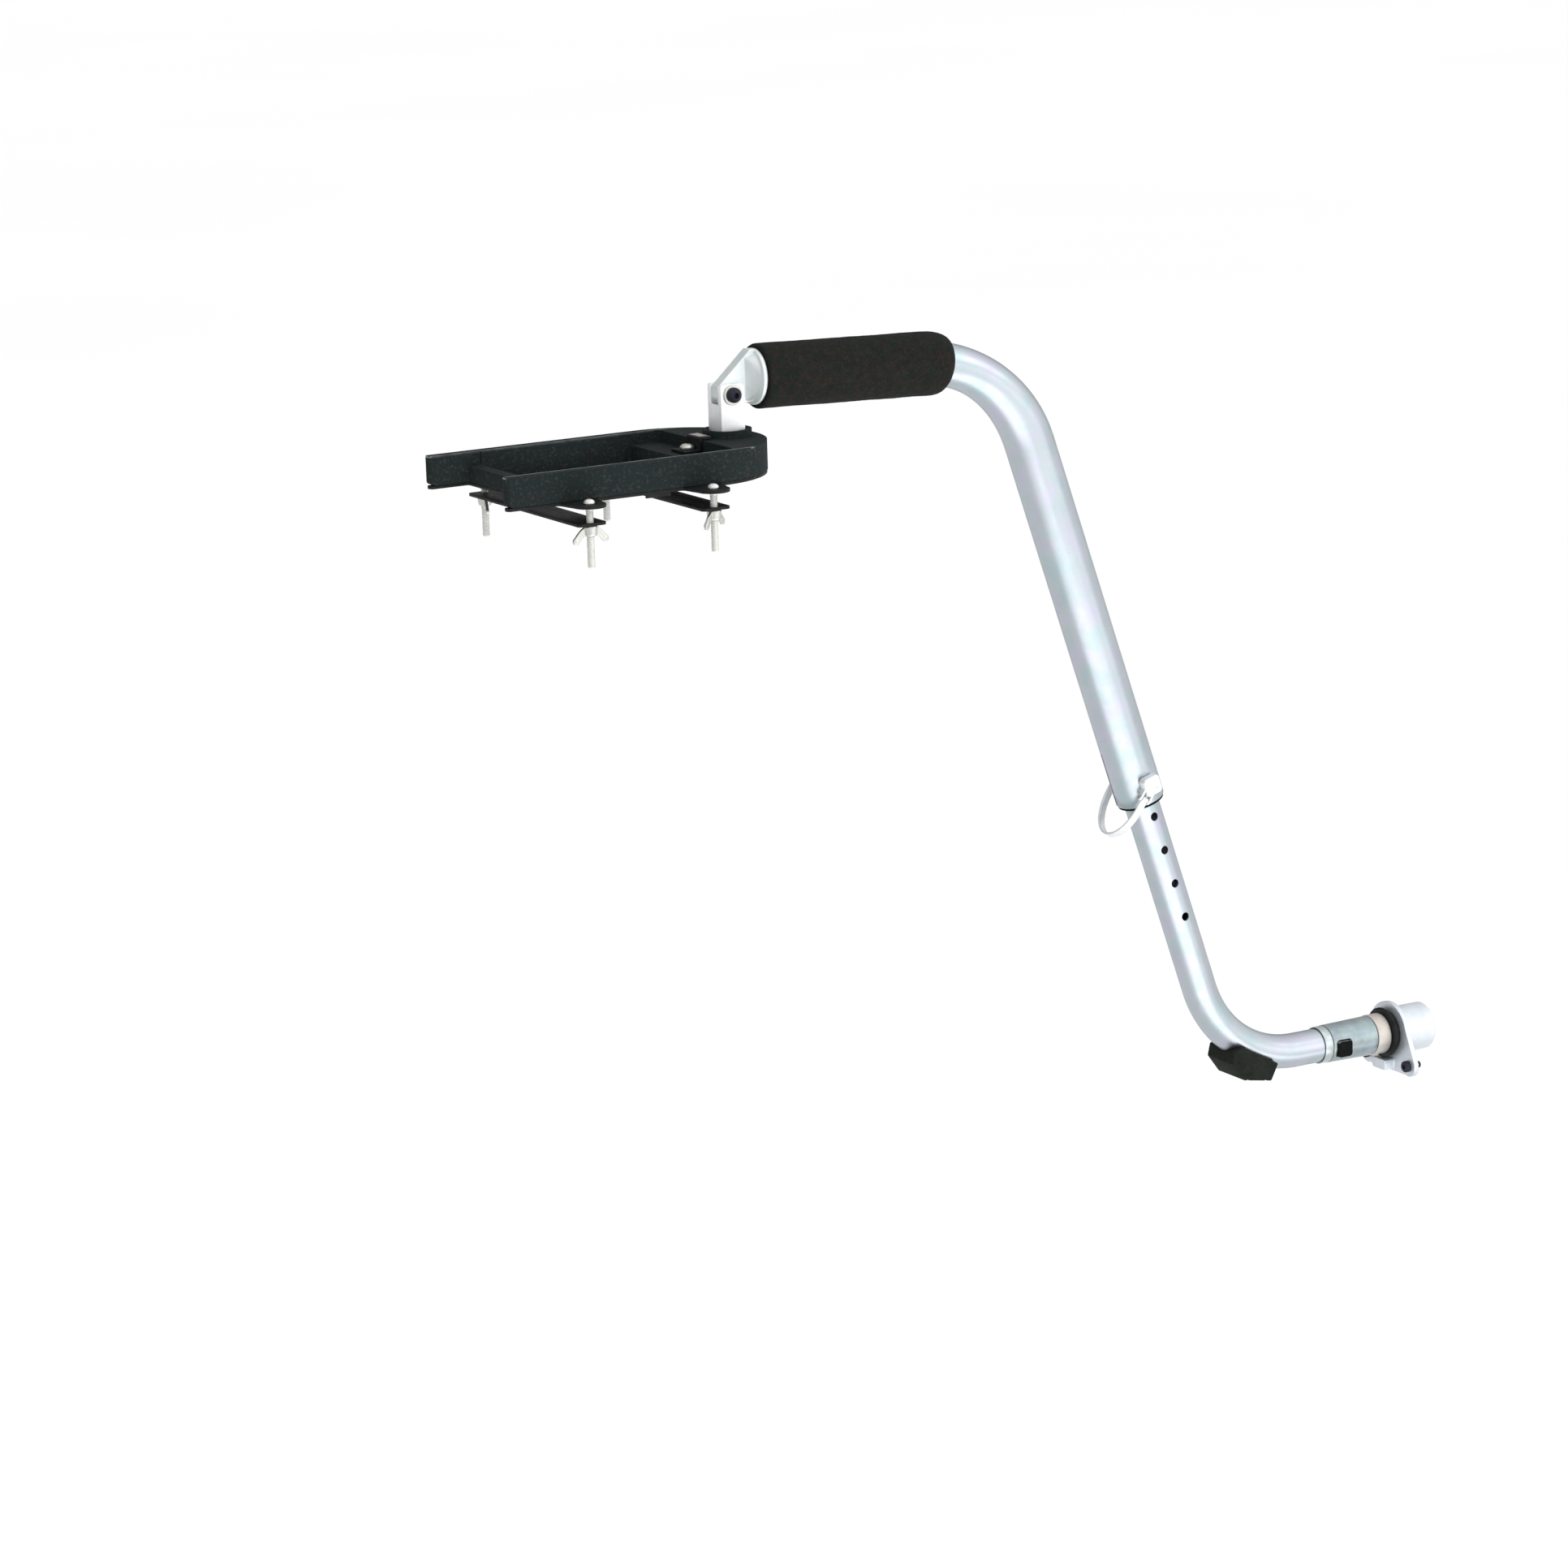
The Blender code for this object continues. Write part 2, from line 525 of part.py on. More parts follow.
# ================================================================= upper arm
def build_upper_arm():
    body("roll", P_START)
    end = STRAIGHT_1 + ARC_1 + STRAIGHT_2

    def upper_r(s):
        return (NECK_D + (UPPER_D - NECK_D) * smooth((s - 158.0) / (STRAIGHT_1 + ARC_1 - 158.0))) / 2
    stops = [0.8, STRAIGHT_1] + [STRAIGHT_1 + ARC_1 * i / 12 for i in range(1, 13)] + [end]
    bm = sweep(new(), [(*upper_point(s), upper_r(s), upper_r(s) - UPPER_WALL) for s in stops], 32)
    tube = mesh_object("upper_tube", bm, "alloy", on="roll", sharp=40)
    bm = new()
    pin = P_LONG + LONG * PIN_S
    turned(bm, rod(HOLE_D / 2, 80, -40), pin, (0, 1, 0), 14)
    # lengthwise slit at the mouth, towards the front and slightly to the right
    side = Vector((0, 1, 0)).cross(LONG)
    if side.x > 0:
        side = -side
    out = cos(radians(15)) * side + sin(radians(15)) * Vector((0, 1, 0))
    across = LONG.cross(out)
    corners = []
    for a in (STRAIGHT_2 - 42, STRAIGHT_2 + 4):
        for b in (14.0, 20.0):
            for w in (-0.9, 0.9):
                corners.append(bm.verts.new(P_LONG + LONG * a + out * b + across * w))
    bmesh.ops.convex_hull(bm, input=corners)
    cut(tube, mesh_object("cut_upper", bm, cutter=True))

    # foam grip, follows the start of the bend
    stations = []
    prof = [(0.3, -1.6), (2.0, 0.0), (STRAIGHT_1, 0.0), (135.0, 0.0), (138.5, 0.0),
            (143.0, -1.1), (145.5, -2.8), (GRIP_L, -4.6)]
    for s, dr in prof:
        p, t = upper_point(s)
        stations.append((p, t, GRIP_D / 2 + dr, NECK_D / 2 + GAP))
    mesh_object("foam_grip", sweep(new(), stations, 28), "foam", on="roll", sharp=60)
    # bush between the knuckle's spigot and the tube
    mesh_object("roll_bush", turned(new(), ring(11.3, 13.3, 2.0, 42.0), P_START, heading(A0), 20), "nylon", on="roll")
    # guide bush in the mouth
    mesh_object("guide_bush", turned(new(), [(12.8, 268.5), (15.6, 268.5), (15.6, 277.6), (16.6, 277.6),
                                             (16.6, 279.4), (12.8, 279.4)], P_LONG, LONG, 24),
                "moulded", on="roll")


# ================================================================= lower arm
def build_lower_arm():
    mouth = P_LONG + LONG * STRAIGHT_2
    body("telescope", mouth)
    bm = sweep(new(), [(p, d, LOWER_D / 2, LOWER_D / 2 - LOWER_WALL) for p, d in lower_points()], 26)
    tube = mesh_object("lower_tube", bm, "alloy", on="telescope", sharp=40)
    bm = new()
    for k in HOLES:
        turned(bm, rod(HOLE_D / 2, 60, -30), P_LONG + LONG * (PIN_S + PITCH * k), (0, 1, 0), 12)
    radial = Vector((412 - C_BEND2.x, 0, -sqrt((BEND_2_R + 12.5) ** 2 - (412 - C_BEND2.x) ** 2))).normalized()
    turned(bm, rod(2.5, 12, BEND_2_R + 6), C_BEND2, radial, 12)
    half = BUTTON / 2 + GAP
    bz = END_Z - BUTTON_DROP
    box(bm, BUTTON_X - half, BUTTON_X + half, -20, -4, bz - half, bz + half)
    cut(tube, mesh_object("cut_lower", bm, cutter=True))
    mesh_object("slider_bush", turned(new(), ring(12.8, 15.6, LOWER_TOP + 1, LOWER_TOP + 15), P_LONG, LONG, 24),
                "moulded", on="telescope")

    # foot block under the bend
    outline = [(393.4, -467.6), (391.3, -476.5), (401.0, -489.8), (425.0, -494.0), (431.2, -482.0), (400.4, -465.0)]
    foot = mesh_object("foot", prism(new(), outline, -16, 16, 'XZ'), "moulded", on="telescope")
    bm = new()
    groove = []
    for i in range(0, 15):
        a = A1 + (20 - A1) * i / 14
        groove.append((C_BEND2 + heading(a - 90) * BEND_2_R, heading(a), LOWER_D / 2 + GAP, None))
    groove.insert(0, (P_BEND2 - LONG * 20, LONG, LOWER_D / 2 + GAP, None))
    sweep(bm, groove, 28)
    cut(foot, mesh_object("cut_saddle", bm, cutter=True))
    bm = new()
    turned(bm, [(0, 80), (2.5, 80), (2.5, 104.6), (5.0, 104.6), (5.0, 125), (0, 125)], C_BEND2, radial, 14)
    cut(foot, mesh_object("cut_foot", bm, cutter=True))
    mesh_object("foot_screw", turned(new(), [(0, 95), (2.2, 95), (2.2, 104.9), (4.4, 104.9), (4.4, 107.2), (3.4, 108.2),
                                             (0, 108.4)], C_BEND2, radial, 14), "zinc", on="telescope")

    # joint band, coupling sleeve, end ring
    at = Vector((0, 0, END_Z))
    mesh_object("joint_band", turned(new(), ring(12.8, 13.6, *BAND_X), at, (1, 0, 0), 24), "bright",
                on="telescope")
    sleeve = mesh_object("coupling_sleeve",
                         turned(new(), [(12.8, SLEEVE_X[0]), (SLEEVE_D[0] / 2, SLEEVE_X[0]),
                                        (SLEEVE_D[1] / 2, SLEEVE_X[1]), (12.8, SLEEVE_X[1])],
                                at, (1, 0, 0), 28), "sleeve", on="telescope")
    bm = new()
    box(bm, BUTTON_X - half, BUTTON_X + half, -25, -4, bz - half, bz + half)
    cut(sleeve, mesh_object("cut_sleeve", bm, cutter=True))
    # the end ring caps the tube
    cap = [(12.8, RING_X[0]), (15.0, RING_X[0]), (15.0, RING_X[1]), (10.8, RING_X[1]), (10.8, END_TUBE + GAP),
           (12.8, END_TUBE + GAP)]
    mesh_object("end_ring", turned(new(), cap, at, (1, 0, 0), 28), "bright", on="telescope")
    # push button
    body("button", (BUTTON_X, -14.0, END_Z))
    b = BUTTON / 2
    bm = new()
    prism(bm, rounded_box(BUTTON_X - b, BUTTON_X + b, bz - b, bz + b, 2.0, 3), -15.9, -12.6, 'XZ')
    cap = mesh_object("release_button", bm, "moulded", on="button")
    cut(cap, mesh_object("add_stem", turned(new(), rod(3.0, 5.0, 9.8), (BUTTON_X, 0, bz), (0, -1, 0), 12),
                         cutter=True), 'UNION')


# ================================================================== lock pin
def build_pin():
    pin = P_LONG + LONG * PIN_S
    body("lock_pin", pin)
    tip = 19.9
    prof = [(0, -tip), (1.6, -tip), (PIN_D / 2, -tip + 1.6), (PIN_D / 2, 18.6), (0, 18.6)]
    shank = turned(new(), prof, pin, (0, -1, 0), 16)
    ob = mesh_object("lock_pin", shank, "bright", on="lock_pin")
    # square cast head, in line with the tube
    bm = new()
    side = Vector((0, 1, 0)).cross(LONG)
    pts = rounded_box(-7, 7, -7, 7, 2.6, 4)
    lo = [bm.verts.new(pin + LONG * a + side * b + Vector((0, -17.9, 0))) for a, b in pts]
    hi = [bm.verts.new(pin + LONG * a * 0.9 + side * b * 0.9 + Vector((0, -24.6, 0))) for a, b in pts]
    bm.faces.new(lo)
    bm.faces.new(hi)
    for i in range(len(lo)):
        j = (i + 1) % len(lo)
        bm.faces.new((lo[i], lo[j], hi[j], hi[i]))
    cut(ob, mesh_object("add_head", bm, cutter=True), 'UNION')

    # spring bail: flat strip loop, hinged on two lugs of the head, snapped over
    # the pin's tip on the far side
    down = BAIL_DIR
    cross = Vector((0, 1, 0)).cross(down)
    hinge = pin + down * BAIL_HINGE[1] + Vector((0, BAIL_HINGE[0], 0))

    def block(bm, l0, l1, y0, y1, c0, c1):
        pts = [bm.verts.new(pin + down * l + Vector((0, y, 0)) + cross * c)
               for l in (l0, l1) for y in (y0, y1) for c in (c0, c1)]
        bmesh.ops.convex_hull(bm, input=pts)
    bm = new()
    for c0, c1 in ((3.1, 4.6), (-4.6, -3.1)):
        block(bm, 3.0, BAIL_HINGE[1] + 2.0, BAIL_HINGE[0] - 2.0, BAIL_HINGE[0] + 2.0, c0, c1)
    cut(ob, mesh_object("add_lugs", bm, cutter=True), 'UNION')
    cut(ob, mesh_object("cut_lugs", turned(new(), rod(1.1, 14, -7), hinge, cross, 10), cutter=True))
    mesh_object("bail_rivet", turned(new(), rod(0.8, 9.6, -4.8), hinge, cross, 10), "bright", on="lock_pin")

    body("bail", hinge)
    y0, y1 = BAIL_HINGE[0], 21.5
    mid, half = (y0 + y1) / 2, (y1 - y0) / 2
    path = [(y0, BAIL_HINGE[1]), (y0, BAIL_LEG - 0.1)]
    path += [(mid - half * cos(radians(a)), BAIL_LEG + BAIL_DROP * sin(radians(a))) for a in range(12, 169, 13)]
    path += [(y1, BAIL_LEG - 0.1), (y1, -2.4)]
    bm = new()
    rings = []
    n = len(path)
    for i, (y, l) in enumerate(path):
        a = path[max(0, i - 1)]
        b = path[min(n - 1, i + 1)]
        t = Vector((b[0] - a[0], b[1] - a[1])).normalized()
        nrm = Vector((-t.y, t.x))
        c = pin + down * l + Vector((0, y, 0))
        e = nrm.x * Vector((0, 1, 0)) + nrm.y * down
        wide = 2.4 if i == 0 else 2.8
        rings.append([bm.verts.new(c + e * p + cross * q * wide)
                      for p, q in ((1, 0.8), (0.7, 1), (-0.7, 1), (-1, 0.8), (-1, -0.8), (-0.7, -1), (0.7, -1), (1, -0.8))])
    for a, b in zip(rings, rings[1:]):
        for k in range(8):
            bm.faces.new((a[k], a[(k + 1) % 8], b[(k + 1) % 8], b[k]))
    bm.faces.new(rings[0])
    bm.faces.new(rings[-1])
    bail = mesh_object("bail", bm, "bright", on="bail", sharp=50)
    cut(bail, mesh_object("add_eye", turned(new(), rod(2.1, 4.8, -2.4), hinge, cross, 14), cutter=True), 'UNION')
    cut(bail, mesh_object("cut_eye", turned(new(), rod(1.1, 10, -5), hinge, cross, 10), cutter=True))


# ================================================================== receiver
def build_receiver():
    body("receiver", (FLANGE_X[0], 0, END_Z))
    z = END_Z
    outline = (arc(0, z, 22.5, 15, 165, 14) + arc(-LOBE[0], z + LOBE[1], 8.0, 160, 285, 7)
               + arc(LOBE[0], z + LOBE[1], 8.0, 255, 380, 7))
    bm = new()
    prism(bm, outline, FLANGE_X[0], FLANGE_X[1], 'YZ')
    casting = mesh_object("receiver", bm, "cast", on="receiver", sharp=28)
    bm = new()
    turned(bm, [(0, 487), (9.2, 487), (10.2, 488.4), (10.2, 543), (17.5, 543), (17.5, SOCKET_END - 1),
                (16.5, SOCKET_END), (0, SOCKET_END)], (0, 0, z), (1, 0, 0), 24)
    cut(casting, mesh_object("add_barrel", bm, cutter=True), 'UNION')
    bm = new()
    box(bm, 532.5, 543.0, -8, 8, z - 27.0, z - SEAL_R - 0.4)
    cut(casting, mesh_object("add_web", bm, cutter=True), 'UNION')
    bm = new()
    box(bm, 480, 503, -20, -7.4, z - 12, z + 12)             # flat that clears the button
    turned(bm, rod(12.0, 30, 549), (0, 0, z), (1, 0, 0), 24)
    for y in (-LOBE[0], LOBE[0]):
        turned(bm, rod(2.8, 20, 533), (0, y, z + LOBE[1]), (1, 0, 0), 12)
    cut(casting, mesh_object("cut_receiver", bm, cutter=True))
    mesh_object("seal_ring", turned(new(), ring(10.5, SEAL_R, *SEAL_X, 1.6), (0, 0, z), (1, 0, 0), 24), "rubber",
                on="receiver")
    for y, nm in ((-LOBE[0], "left"), (LOBE[0], "right")):
        prof = [(0, 536.9), (2.9, 537.0), (4.2, 538.2), (4.2, 540.7), (2.5, 540.7), (2.5, 551), (0, 551)]
        mesh_object("receiver_bolt_" + nm, turned(new(), prof, (0, y, z + LOBE[1]), (1, 0, 0), 12), "black_bolt",
                    on="receiver")


def main():
    clear_scene()
    build_shoe()
    build_clamps()
    build_post()
    build_knuckle()
    build_upper_arm()
    build_lower_arm()
    build_pin()
    build_receiver()


main()
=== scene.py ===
"""Looks of the dog trailer's tow bar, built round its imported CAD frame.

The scene is in metres.  The numbers in the builders are millimetres, in the
frame's own axes: +X to the rear, +Y to the right, +Z up.
"""

from math import sin, cos, tan, acos, radians, degrees, pi, tau, sqrt, atan2, hypot

import bpy
import bmesh
from mathutils import Vector, Matrix, noise


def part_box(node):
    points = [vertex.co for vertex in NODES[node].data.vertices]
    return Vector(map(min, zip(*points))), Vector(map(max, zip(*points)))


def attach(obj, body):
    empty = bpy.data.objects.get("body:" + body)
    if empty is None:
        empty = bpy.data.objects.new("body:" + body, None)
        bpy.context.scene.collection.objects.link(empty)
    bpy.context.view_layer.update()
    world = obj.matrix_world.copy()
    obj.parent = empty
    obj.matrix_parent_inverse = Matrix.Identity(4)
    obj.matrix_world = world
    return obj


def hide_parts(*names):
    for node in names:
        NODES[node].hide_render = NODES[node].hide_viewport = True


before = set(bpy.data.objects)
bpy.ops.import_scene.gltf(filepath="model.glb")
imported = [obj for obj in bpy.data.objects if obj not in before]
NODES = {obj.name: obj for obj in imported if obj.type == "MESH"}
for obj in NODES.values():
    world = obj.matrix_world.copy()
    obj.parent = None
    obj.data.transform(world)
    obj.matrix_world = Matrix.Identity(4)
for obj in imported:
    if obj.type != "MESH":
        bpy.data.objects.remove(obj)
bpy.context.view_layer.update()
MM = 0.001
Y = Vector((0, 1, 0))


# ============================================================ node materials
class Mat:
    """A material with short calls for its nodes."""

    def __init__(self, name):
        self.m = bpy.data.materials.new(name)
        self.m.use_nodes = True
        self.t = self.m.node_tree
        self.b = self.t.nodes["Principled BSDF"]
        self.coord = self.t.nodes.new("ShaderNodeTexCoord").outputs["Object"]
        self.normal = None

    def set(self, **kw):
        for k, v in kw.items():
            sock = self.b.inputs[k.replace("_", " ")]
            if isinstance(v, bpy.types.NodeSocket):
                self.t.links.new(v, sock)
            elif isinstance(v, (tuple, list)) and len(v) == 3:
                sock.default_value = (*v, 1.0)
            else:
                sock.default_value = v
        return self

    def put(self, node, **kw):
        for k, v in kw.items():
            sock = node.inputs[k.replace("_", " ")]
            if isinstance(v, bpy.types.NodeSocket):
                self.t.links.new(v, sock)
            elif isinstance(v, (tuple, list)) and len(v) == 3 and sock.type == 'RGBA':
                sock.default_value = (*v, 1.0)
            else:
                sock.default_value = v
        return node

    def uv(self, name):
        n = self.t.nodes.new("ShaderNodeUVMap")
        n.uv_map = name
        return n.outputs["UV"]

    def mapped(self, source, scale=(1, 1, 1), rot=(0, 0, 0)):
        n = self.t.nodes.new("ShaderNodeMapping")
        n.inputs["Scale"].default_value = scale
        n.inputs["Rotation"].default_value = rot
        self.t.links.new(source, n.inputs["Vector"])
        return n.outputs["Vector"]

    def noise(self, scale, detail=3.0, rough=0.5, at=None, distort=0.0):
        n = self.t.nodes.new("ShaderNodeTexNoise")
        self.put(n, Vector=at or self.coord, Scale=scale, Detail=detail, Roughness=rough, Distortion=distort)
        return n.outputs["Fac"]

    def cells(self, scale, feature='F1', at=None, randomness=1.0):
        n = self.t.nodes.new("ShaderNodeTexVoronoi")
        n.feature = feature
        self.put(n, Vector=at or self.coord, Scale=scale, Randomness=randomness)
        return n.outputs["Distance"]

    def cell_colour(self, scale, at=None):
        n = self.t.nodes.new("ShaderNodeTexVoronoi")
        self.put(n, Vector=at or self.coord, Scale=scale)
        return n.outputs["Color"]

    def ramp(self, fac, *stops):
        n = self.t.nodes.new("ShaderNodeValToRGB")
        e = n.color_ramp.elements
        for i, (pos, col) in enumerate(stops):
            el = e[i] if i < 2 else e.new(pos)
            el.position = pos
            el.color = (*col, 1.0) if isinstance(col, tuple) else (col, col, col, 1.0)
        self.t.links.new(fac, n.inputs["Fac"])
        return n.outputs["Color"]

    def span(self, fac, a0, a1, b0, b1):
        n = self.t.nodes.new("ShaderNodeMapRange")
        self.put(n, Value=fac, From_Min=a0, From_Max=a1, To_Min=b0, To_Max=b1)
        return n.outputs["Result"]

    def math(self, op, a, b=0.0):
        n = self.t.nodes.new("ShaderNodeMath")
        n.operation = op
        for i, v in enumerate((a, b)):
            if isinstance(v, bpy.types.NodeSocket):
                self.t.links.new(v, n.inputs[i])
            else:
                n.inputs[i].default_value = v
        return n.outputs[0]

    def mix(self, fac, a, b, blend='MIX'):
        n = self.t.nodes.new("ShaderNodeMix")
        n.data_type = 'RGBA'
        n.blend_type = blend
        for sock, v in ((n.inputs[0], fac), (n.inputs[6], a), (n.inputs[7], b)):
            if isinstance(v, bpy.types.NodeSocket):
                self.t.links.new(v, sock)
            elif isinstance(v, (tuple, list)):
                sock.default_value = (*v, 1.0)
            else:
                sock.default_value = v
        return n.outputs[2]

    def bump(self, height, strength, distance):
        n = self.t.nodes.new("ShaderNodeBump")
        self.put(n, Height=height, Strength=strength, Distance=distance)
        if self.normal is not None:
            self.t.links.new(self.normal, n.inputs["Normal"])
        self.normal = n.outputs["Normal"]
        self.t.links.new(self.normal, self.b.inputs["Normal"])
        return self

    def shoulders(self):
        """1 on rounded edges between an upper face and a wall, else 0."""
        n = self.t.nodes.new("ShaderNodeNewGeometry")
        s = self.t.nodes.new("ShaderNodeSeparateXYZ")
        self.t.links.new(n.outputs["Normal"], s.inputs[0])
        z = s.outputs["Z"]
        return self.math('MULTIPLY', self.span(z, 0.25, 0.50, 0.0, 1.0), self.span(z, 0.85, 0.97, 1.0, 0.0))

    def edges(self, lo=0.52, hi=0.60):
        """0 on flat ground, 1 on edges that stand out."""
        n = self.t.nodes.new("ShaderNodeNewGeometry")
        return self.span(n.outputs["Pointiness"], lo, hi, 0.0, 1.0)


def tube_metal(name, lines="along"):
    """Satin anodised tube: fine drawn lines along it, faint clouding, and painted shade darkening it toward its
    outline.
    """
    m = Mat(name)
    cloud = m.noise(38.0, 4.0, 0.55)
    tint = m.ramp(cloud, (0.32, (0.385, 0.425, 0.462)), (0.52, (0.430, 0.468, 0.505)), (0.72, (0.470, 0.498, 0.530)))
    if lines == "along":
        at = m.mapped(m.uv("along"), (320.0, 3.2, 1.0))
    else:
        at = m.mapped(m.coord, lines)
    drawn = m.noise(1.0, 4.0, 0.6, at=at)
    col = m.mix(m.span(drawn, 0.3, 0.7, 0.0, 0.45), tint, (0.37, 0.40, 0.435), 'MIX')
    hue = m.noise(58.0, 3.0, 0.6, distort=0.4)
    col = m.mix(0.50, col, m.ramp(hue, (0.36, (0.345, 0.470, 0.480)), (0.50, (0.430, 0.465, 0.500)), (0.64, (0.465, 0.440, 0.560))), 'MIX')
    # painted shade: the colour darkens toward the tube's outline, where the surface faces away from the view
    turn = m.t.nodes.new("ShaderNodeLayerWeight")
    turn.inputs["Blend"].default_value = 0.5
    col = m.mix(m.span(turn.outputs["Facing"], 0.60, 0.92, 0.0, 0.85), col, (0.175, 0.235, 0.262))
    smudge = m.noise(95.0, 5.0, 0.65, distort=0.6)
    m.set(Base_Color=col, Metallic=1.0,
          Roughness=m.math('ADD', m.span(smudge, 0.35, 0.7, 0.29, 0.38), m.span(drawn, 0.3, 0.7, -0.03, 0.04)))
    m.bump(drawn, 0.10, 0.00006)
    m.bump(m.noise(2600.0, 2.0, 0.5), 0.06, 0.00004)
    return m.m


def cast_metal(name, rgb=(0.78, 0.80, 0.81), metal=0.55):
    """Blasted light-metal casting, its pits darkened as painted shade."""
    m = Mat(name)
    cloud = m.noise(60.0, 4.0, 0.6)
    r, g, b = rgb
    col = m.ramp(cloud, (0.3, (r * 0.90, g * 0.90, b * 0.905)), (0.7, (min(1, r * 1.05), min(1, g * 1.05), min(1, b * 1.05))))
    pits = m.noise(1500.0, 3.0, 0.6)
    # painted shade: the blast pits are darkened
    col = m.mix(m.span(pits, 0.30, 0.42, 0.35, 0.0), col, (r * 0.62, g * 0.62, b * 0.64))
    m.set(Base_Color=col, Metallic=metal, Roughness=m.span(m.noise(700.0, 3.0), 0.3, 0.7, 0.40, 0.54))
    m.bump(m.noise(420.0, 3.0, 0.55), 0.22, 0.00012)
    m.bump(pits, 0.35, 0.00008)
    return m.m


def plated(name, rgb=(0.83, 0.835, 0.82), rough=(0.16, 0.30), warm=0.25, metal=1.0):
    """Bright zinc plating with a faint passivation haze."""
    m = Mat(name)
    haze = m.noise(210.0, 4.0, 0.6)
    r, g, b = rgb
    col = m.ramp(haze, (0.3, (r * 0.92, g * 0.93, b * 0.95)), (0.55, rgb),
                 (0.75, (min(1, r * 1.04), min(1, g * 1.03), b * (1.0 - 0.12 * warm))))
    m.set(Base_Color=col, Metallic=metal, Roughness=m.span(m.noise(900.0, 4.0, 0.6), 0.3, 0.7, *rough))
    m.bump(m.noise(1800.0, 2.0), 0.08, 0.00005)
    return m.m


def moulding(name, rgb=(0.0135, 0.0155, 0.0165), rough=(0.42, 0.56), grain=0.30, rim=None):
    """Black moulded plastic with a spark-eroded grain and a painted highlight on its rounded edges; with rim, also a
    painted highlight line on top of the side walls.
    """
    m = Mat(name)
    r, g, b = rgb
    patch = m.noise(420.0, 4.0, 0.65)
    base = m.ramp(patch, (0.34, (r * 0.55, g * 1.20, b * 1.10)), (0.49, (r * 0.70, g * 0.70, b * 0.74)), (0.60, (r * 1.50, g * 1.20, b * 1.15)),
                  (0.72, (r * 1.00, g * 2.10, b * 2.20)))
    dust = m.noise(1900.0, 2.0, 0.7)
    base = m.mix(m.span(dust, 0.56, 0.76, 0.0, 0.55), base, (0.026, 0.028, 0.030))
    # painted highlight: rounded edges between upper faces and walls are lightened, broken up by noise
    edge_highlight = m.math('MULTIPLY', m.shoulders(), m.span(m.noise(180.0, 4.0, 0.65), 0.36, 0.60, 0.30, 1.0))
    base = m.mix(m.math('MULTIPLY', edge_highlight, 0.85), base, (0.300, 0.318, 0.325))
    if rim:
        # painted highlight: a light line along the inner edge of both side walls, on their top
        s = m.t.nodes.new("ShaderNodeSeparateXYZ")
        m.t.links.new(m.coord, s.inputs[0])
        off = m.math('ABSOLUTE', s.outputs["Y"])
        line = m.math('MULTIPLY', m.span(off, rim[0], rim[0] + 0.0006, 0.0, 1.0), m.span(off, rim[0] + 0.0016, rim[0] + 0.0028, 1.0, 0.0))
        line = m.math('MULTIPLY', line, m.span(s.outputs["Z"], rim[1] - 0.0008, rim[1], 0.0, 1.0))
        line = m.math('MULTIPLY', line, m.span(m.noise(150.0, 4.0, 0.6), 0.34, 0.58, 0.35, 0.9))
        base = m.mix(line, base, (0.170, 0.182, 0.190))
    m.set(Base_Color=base, Roughness=m.span(patch, 0.3, 0.7, *rough), Specular_IOR_Level=0.05)
    m.bump(m.cells(2300.0), grain, 0.00010)
    m.bump(m.noise(900.0, 3.0, 0.6), 0.18, 0.00010)
    return m.m


def coated(name, rgb=(0.0060, 0.0062, 0.0066)):
    """Black powder coat with orange peel and a few chips on the edges."""
    m = Mat(name)
    peel = m.noise(850.0, 2.0, 0.5)
    chip = m.math('MULTIPLY', m.edges(0.54, 0.64), m.span(m.noise(420.0, 5.0, 0.7), 0.56, 0.62, 0.0, 1.0))
    col = m.mix(m.span(m.noise(240.0, 4.0), 0.40, 0.7, 0.0, 0.6), rgb, (0.014, 0.015, 0.016))
    col = m.mix(m.math('MULTIPLY', chip, 0.7), col, (0.20, 0.20, 0.20))
    m.set(Base_Color=col, Roughness=m.span(m.noise(300.0, 3.0), 0.3, 0.7, 0.46, 0.60), Specular_IOR_Level=0.16)
    m.bump(peel, 0.16, 0.00012)
    return m.m


def rubbed_sheen_plate(name, level):
    """Black plate whose topmost face is rubbed down to bare metal and lightened: partly wear, partly a painted sheen
    on the top face.
    """
    m = Mat(name)
    s = m.t.nodes.new("ShaderNodeSeparateXYZ")
    m.t.links.new(m.coord, s.inputs[0])
    rub_and_sheen = m.math('MULTIPLY', m.span(s.outputs["Z"], level - 0.0003, level, 0.0, 1.0),
                  m.span(m.noise(300.0, 4.0, 0.6), 0.34, 0.56, 0.55, 1.0))
    # only the strip next to the post is rubbed and lightened as painted sheen, and it stops short of the near edge
    rub_and_sheen = m.math('MULTIPLY', rub_and_sheen, m.span(s.outputs["X"], -0.0246, -0.0234, 0.10, 1.0))
    rub_and_sheen = m.math('MULTIPLY', rub_and_sheen, m.span(s.outputs["Y"], -0.0062, -0.0040, 0.10, 1.0))
    col = m.mix(m.span(m.noise(240.0, 4.0), 0.40, 0.7, 0.0, 0.6), (0.0060, 0.0062, 0.0066), (0.014, 0.015, 0.016))
    m.set(Base_Color=m.mix(rub_and_sheen, col, (0.50, 0.44, 0.45)), Metallic=m.math('MULTIPLY', rub_and_sheen, 0.8),
          Roughness=m.span(m.noise(300.0, 3.0), 0.3, 0.7, 0.46, 0.60), Specular_IOR_Level=0.12)
    m.bump(m.noise(850.0, 2.0, 0.5), 0.16, 0.00012)
    return m.m


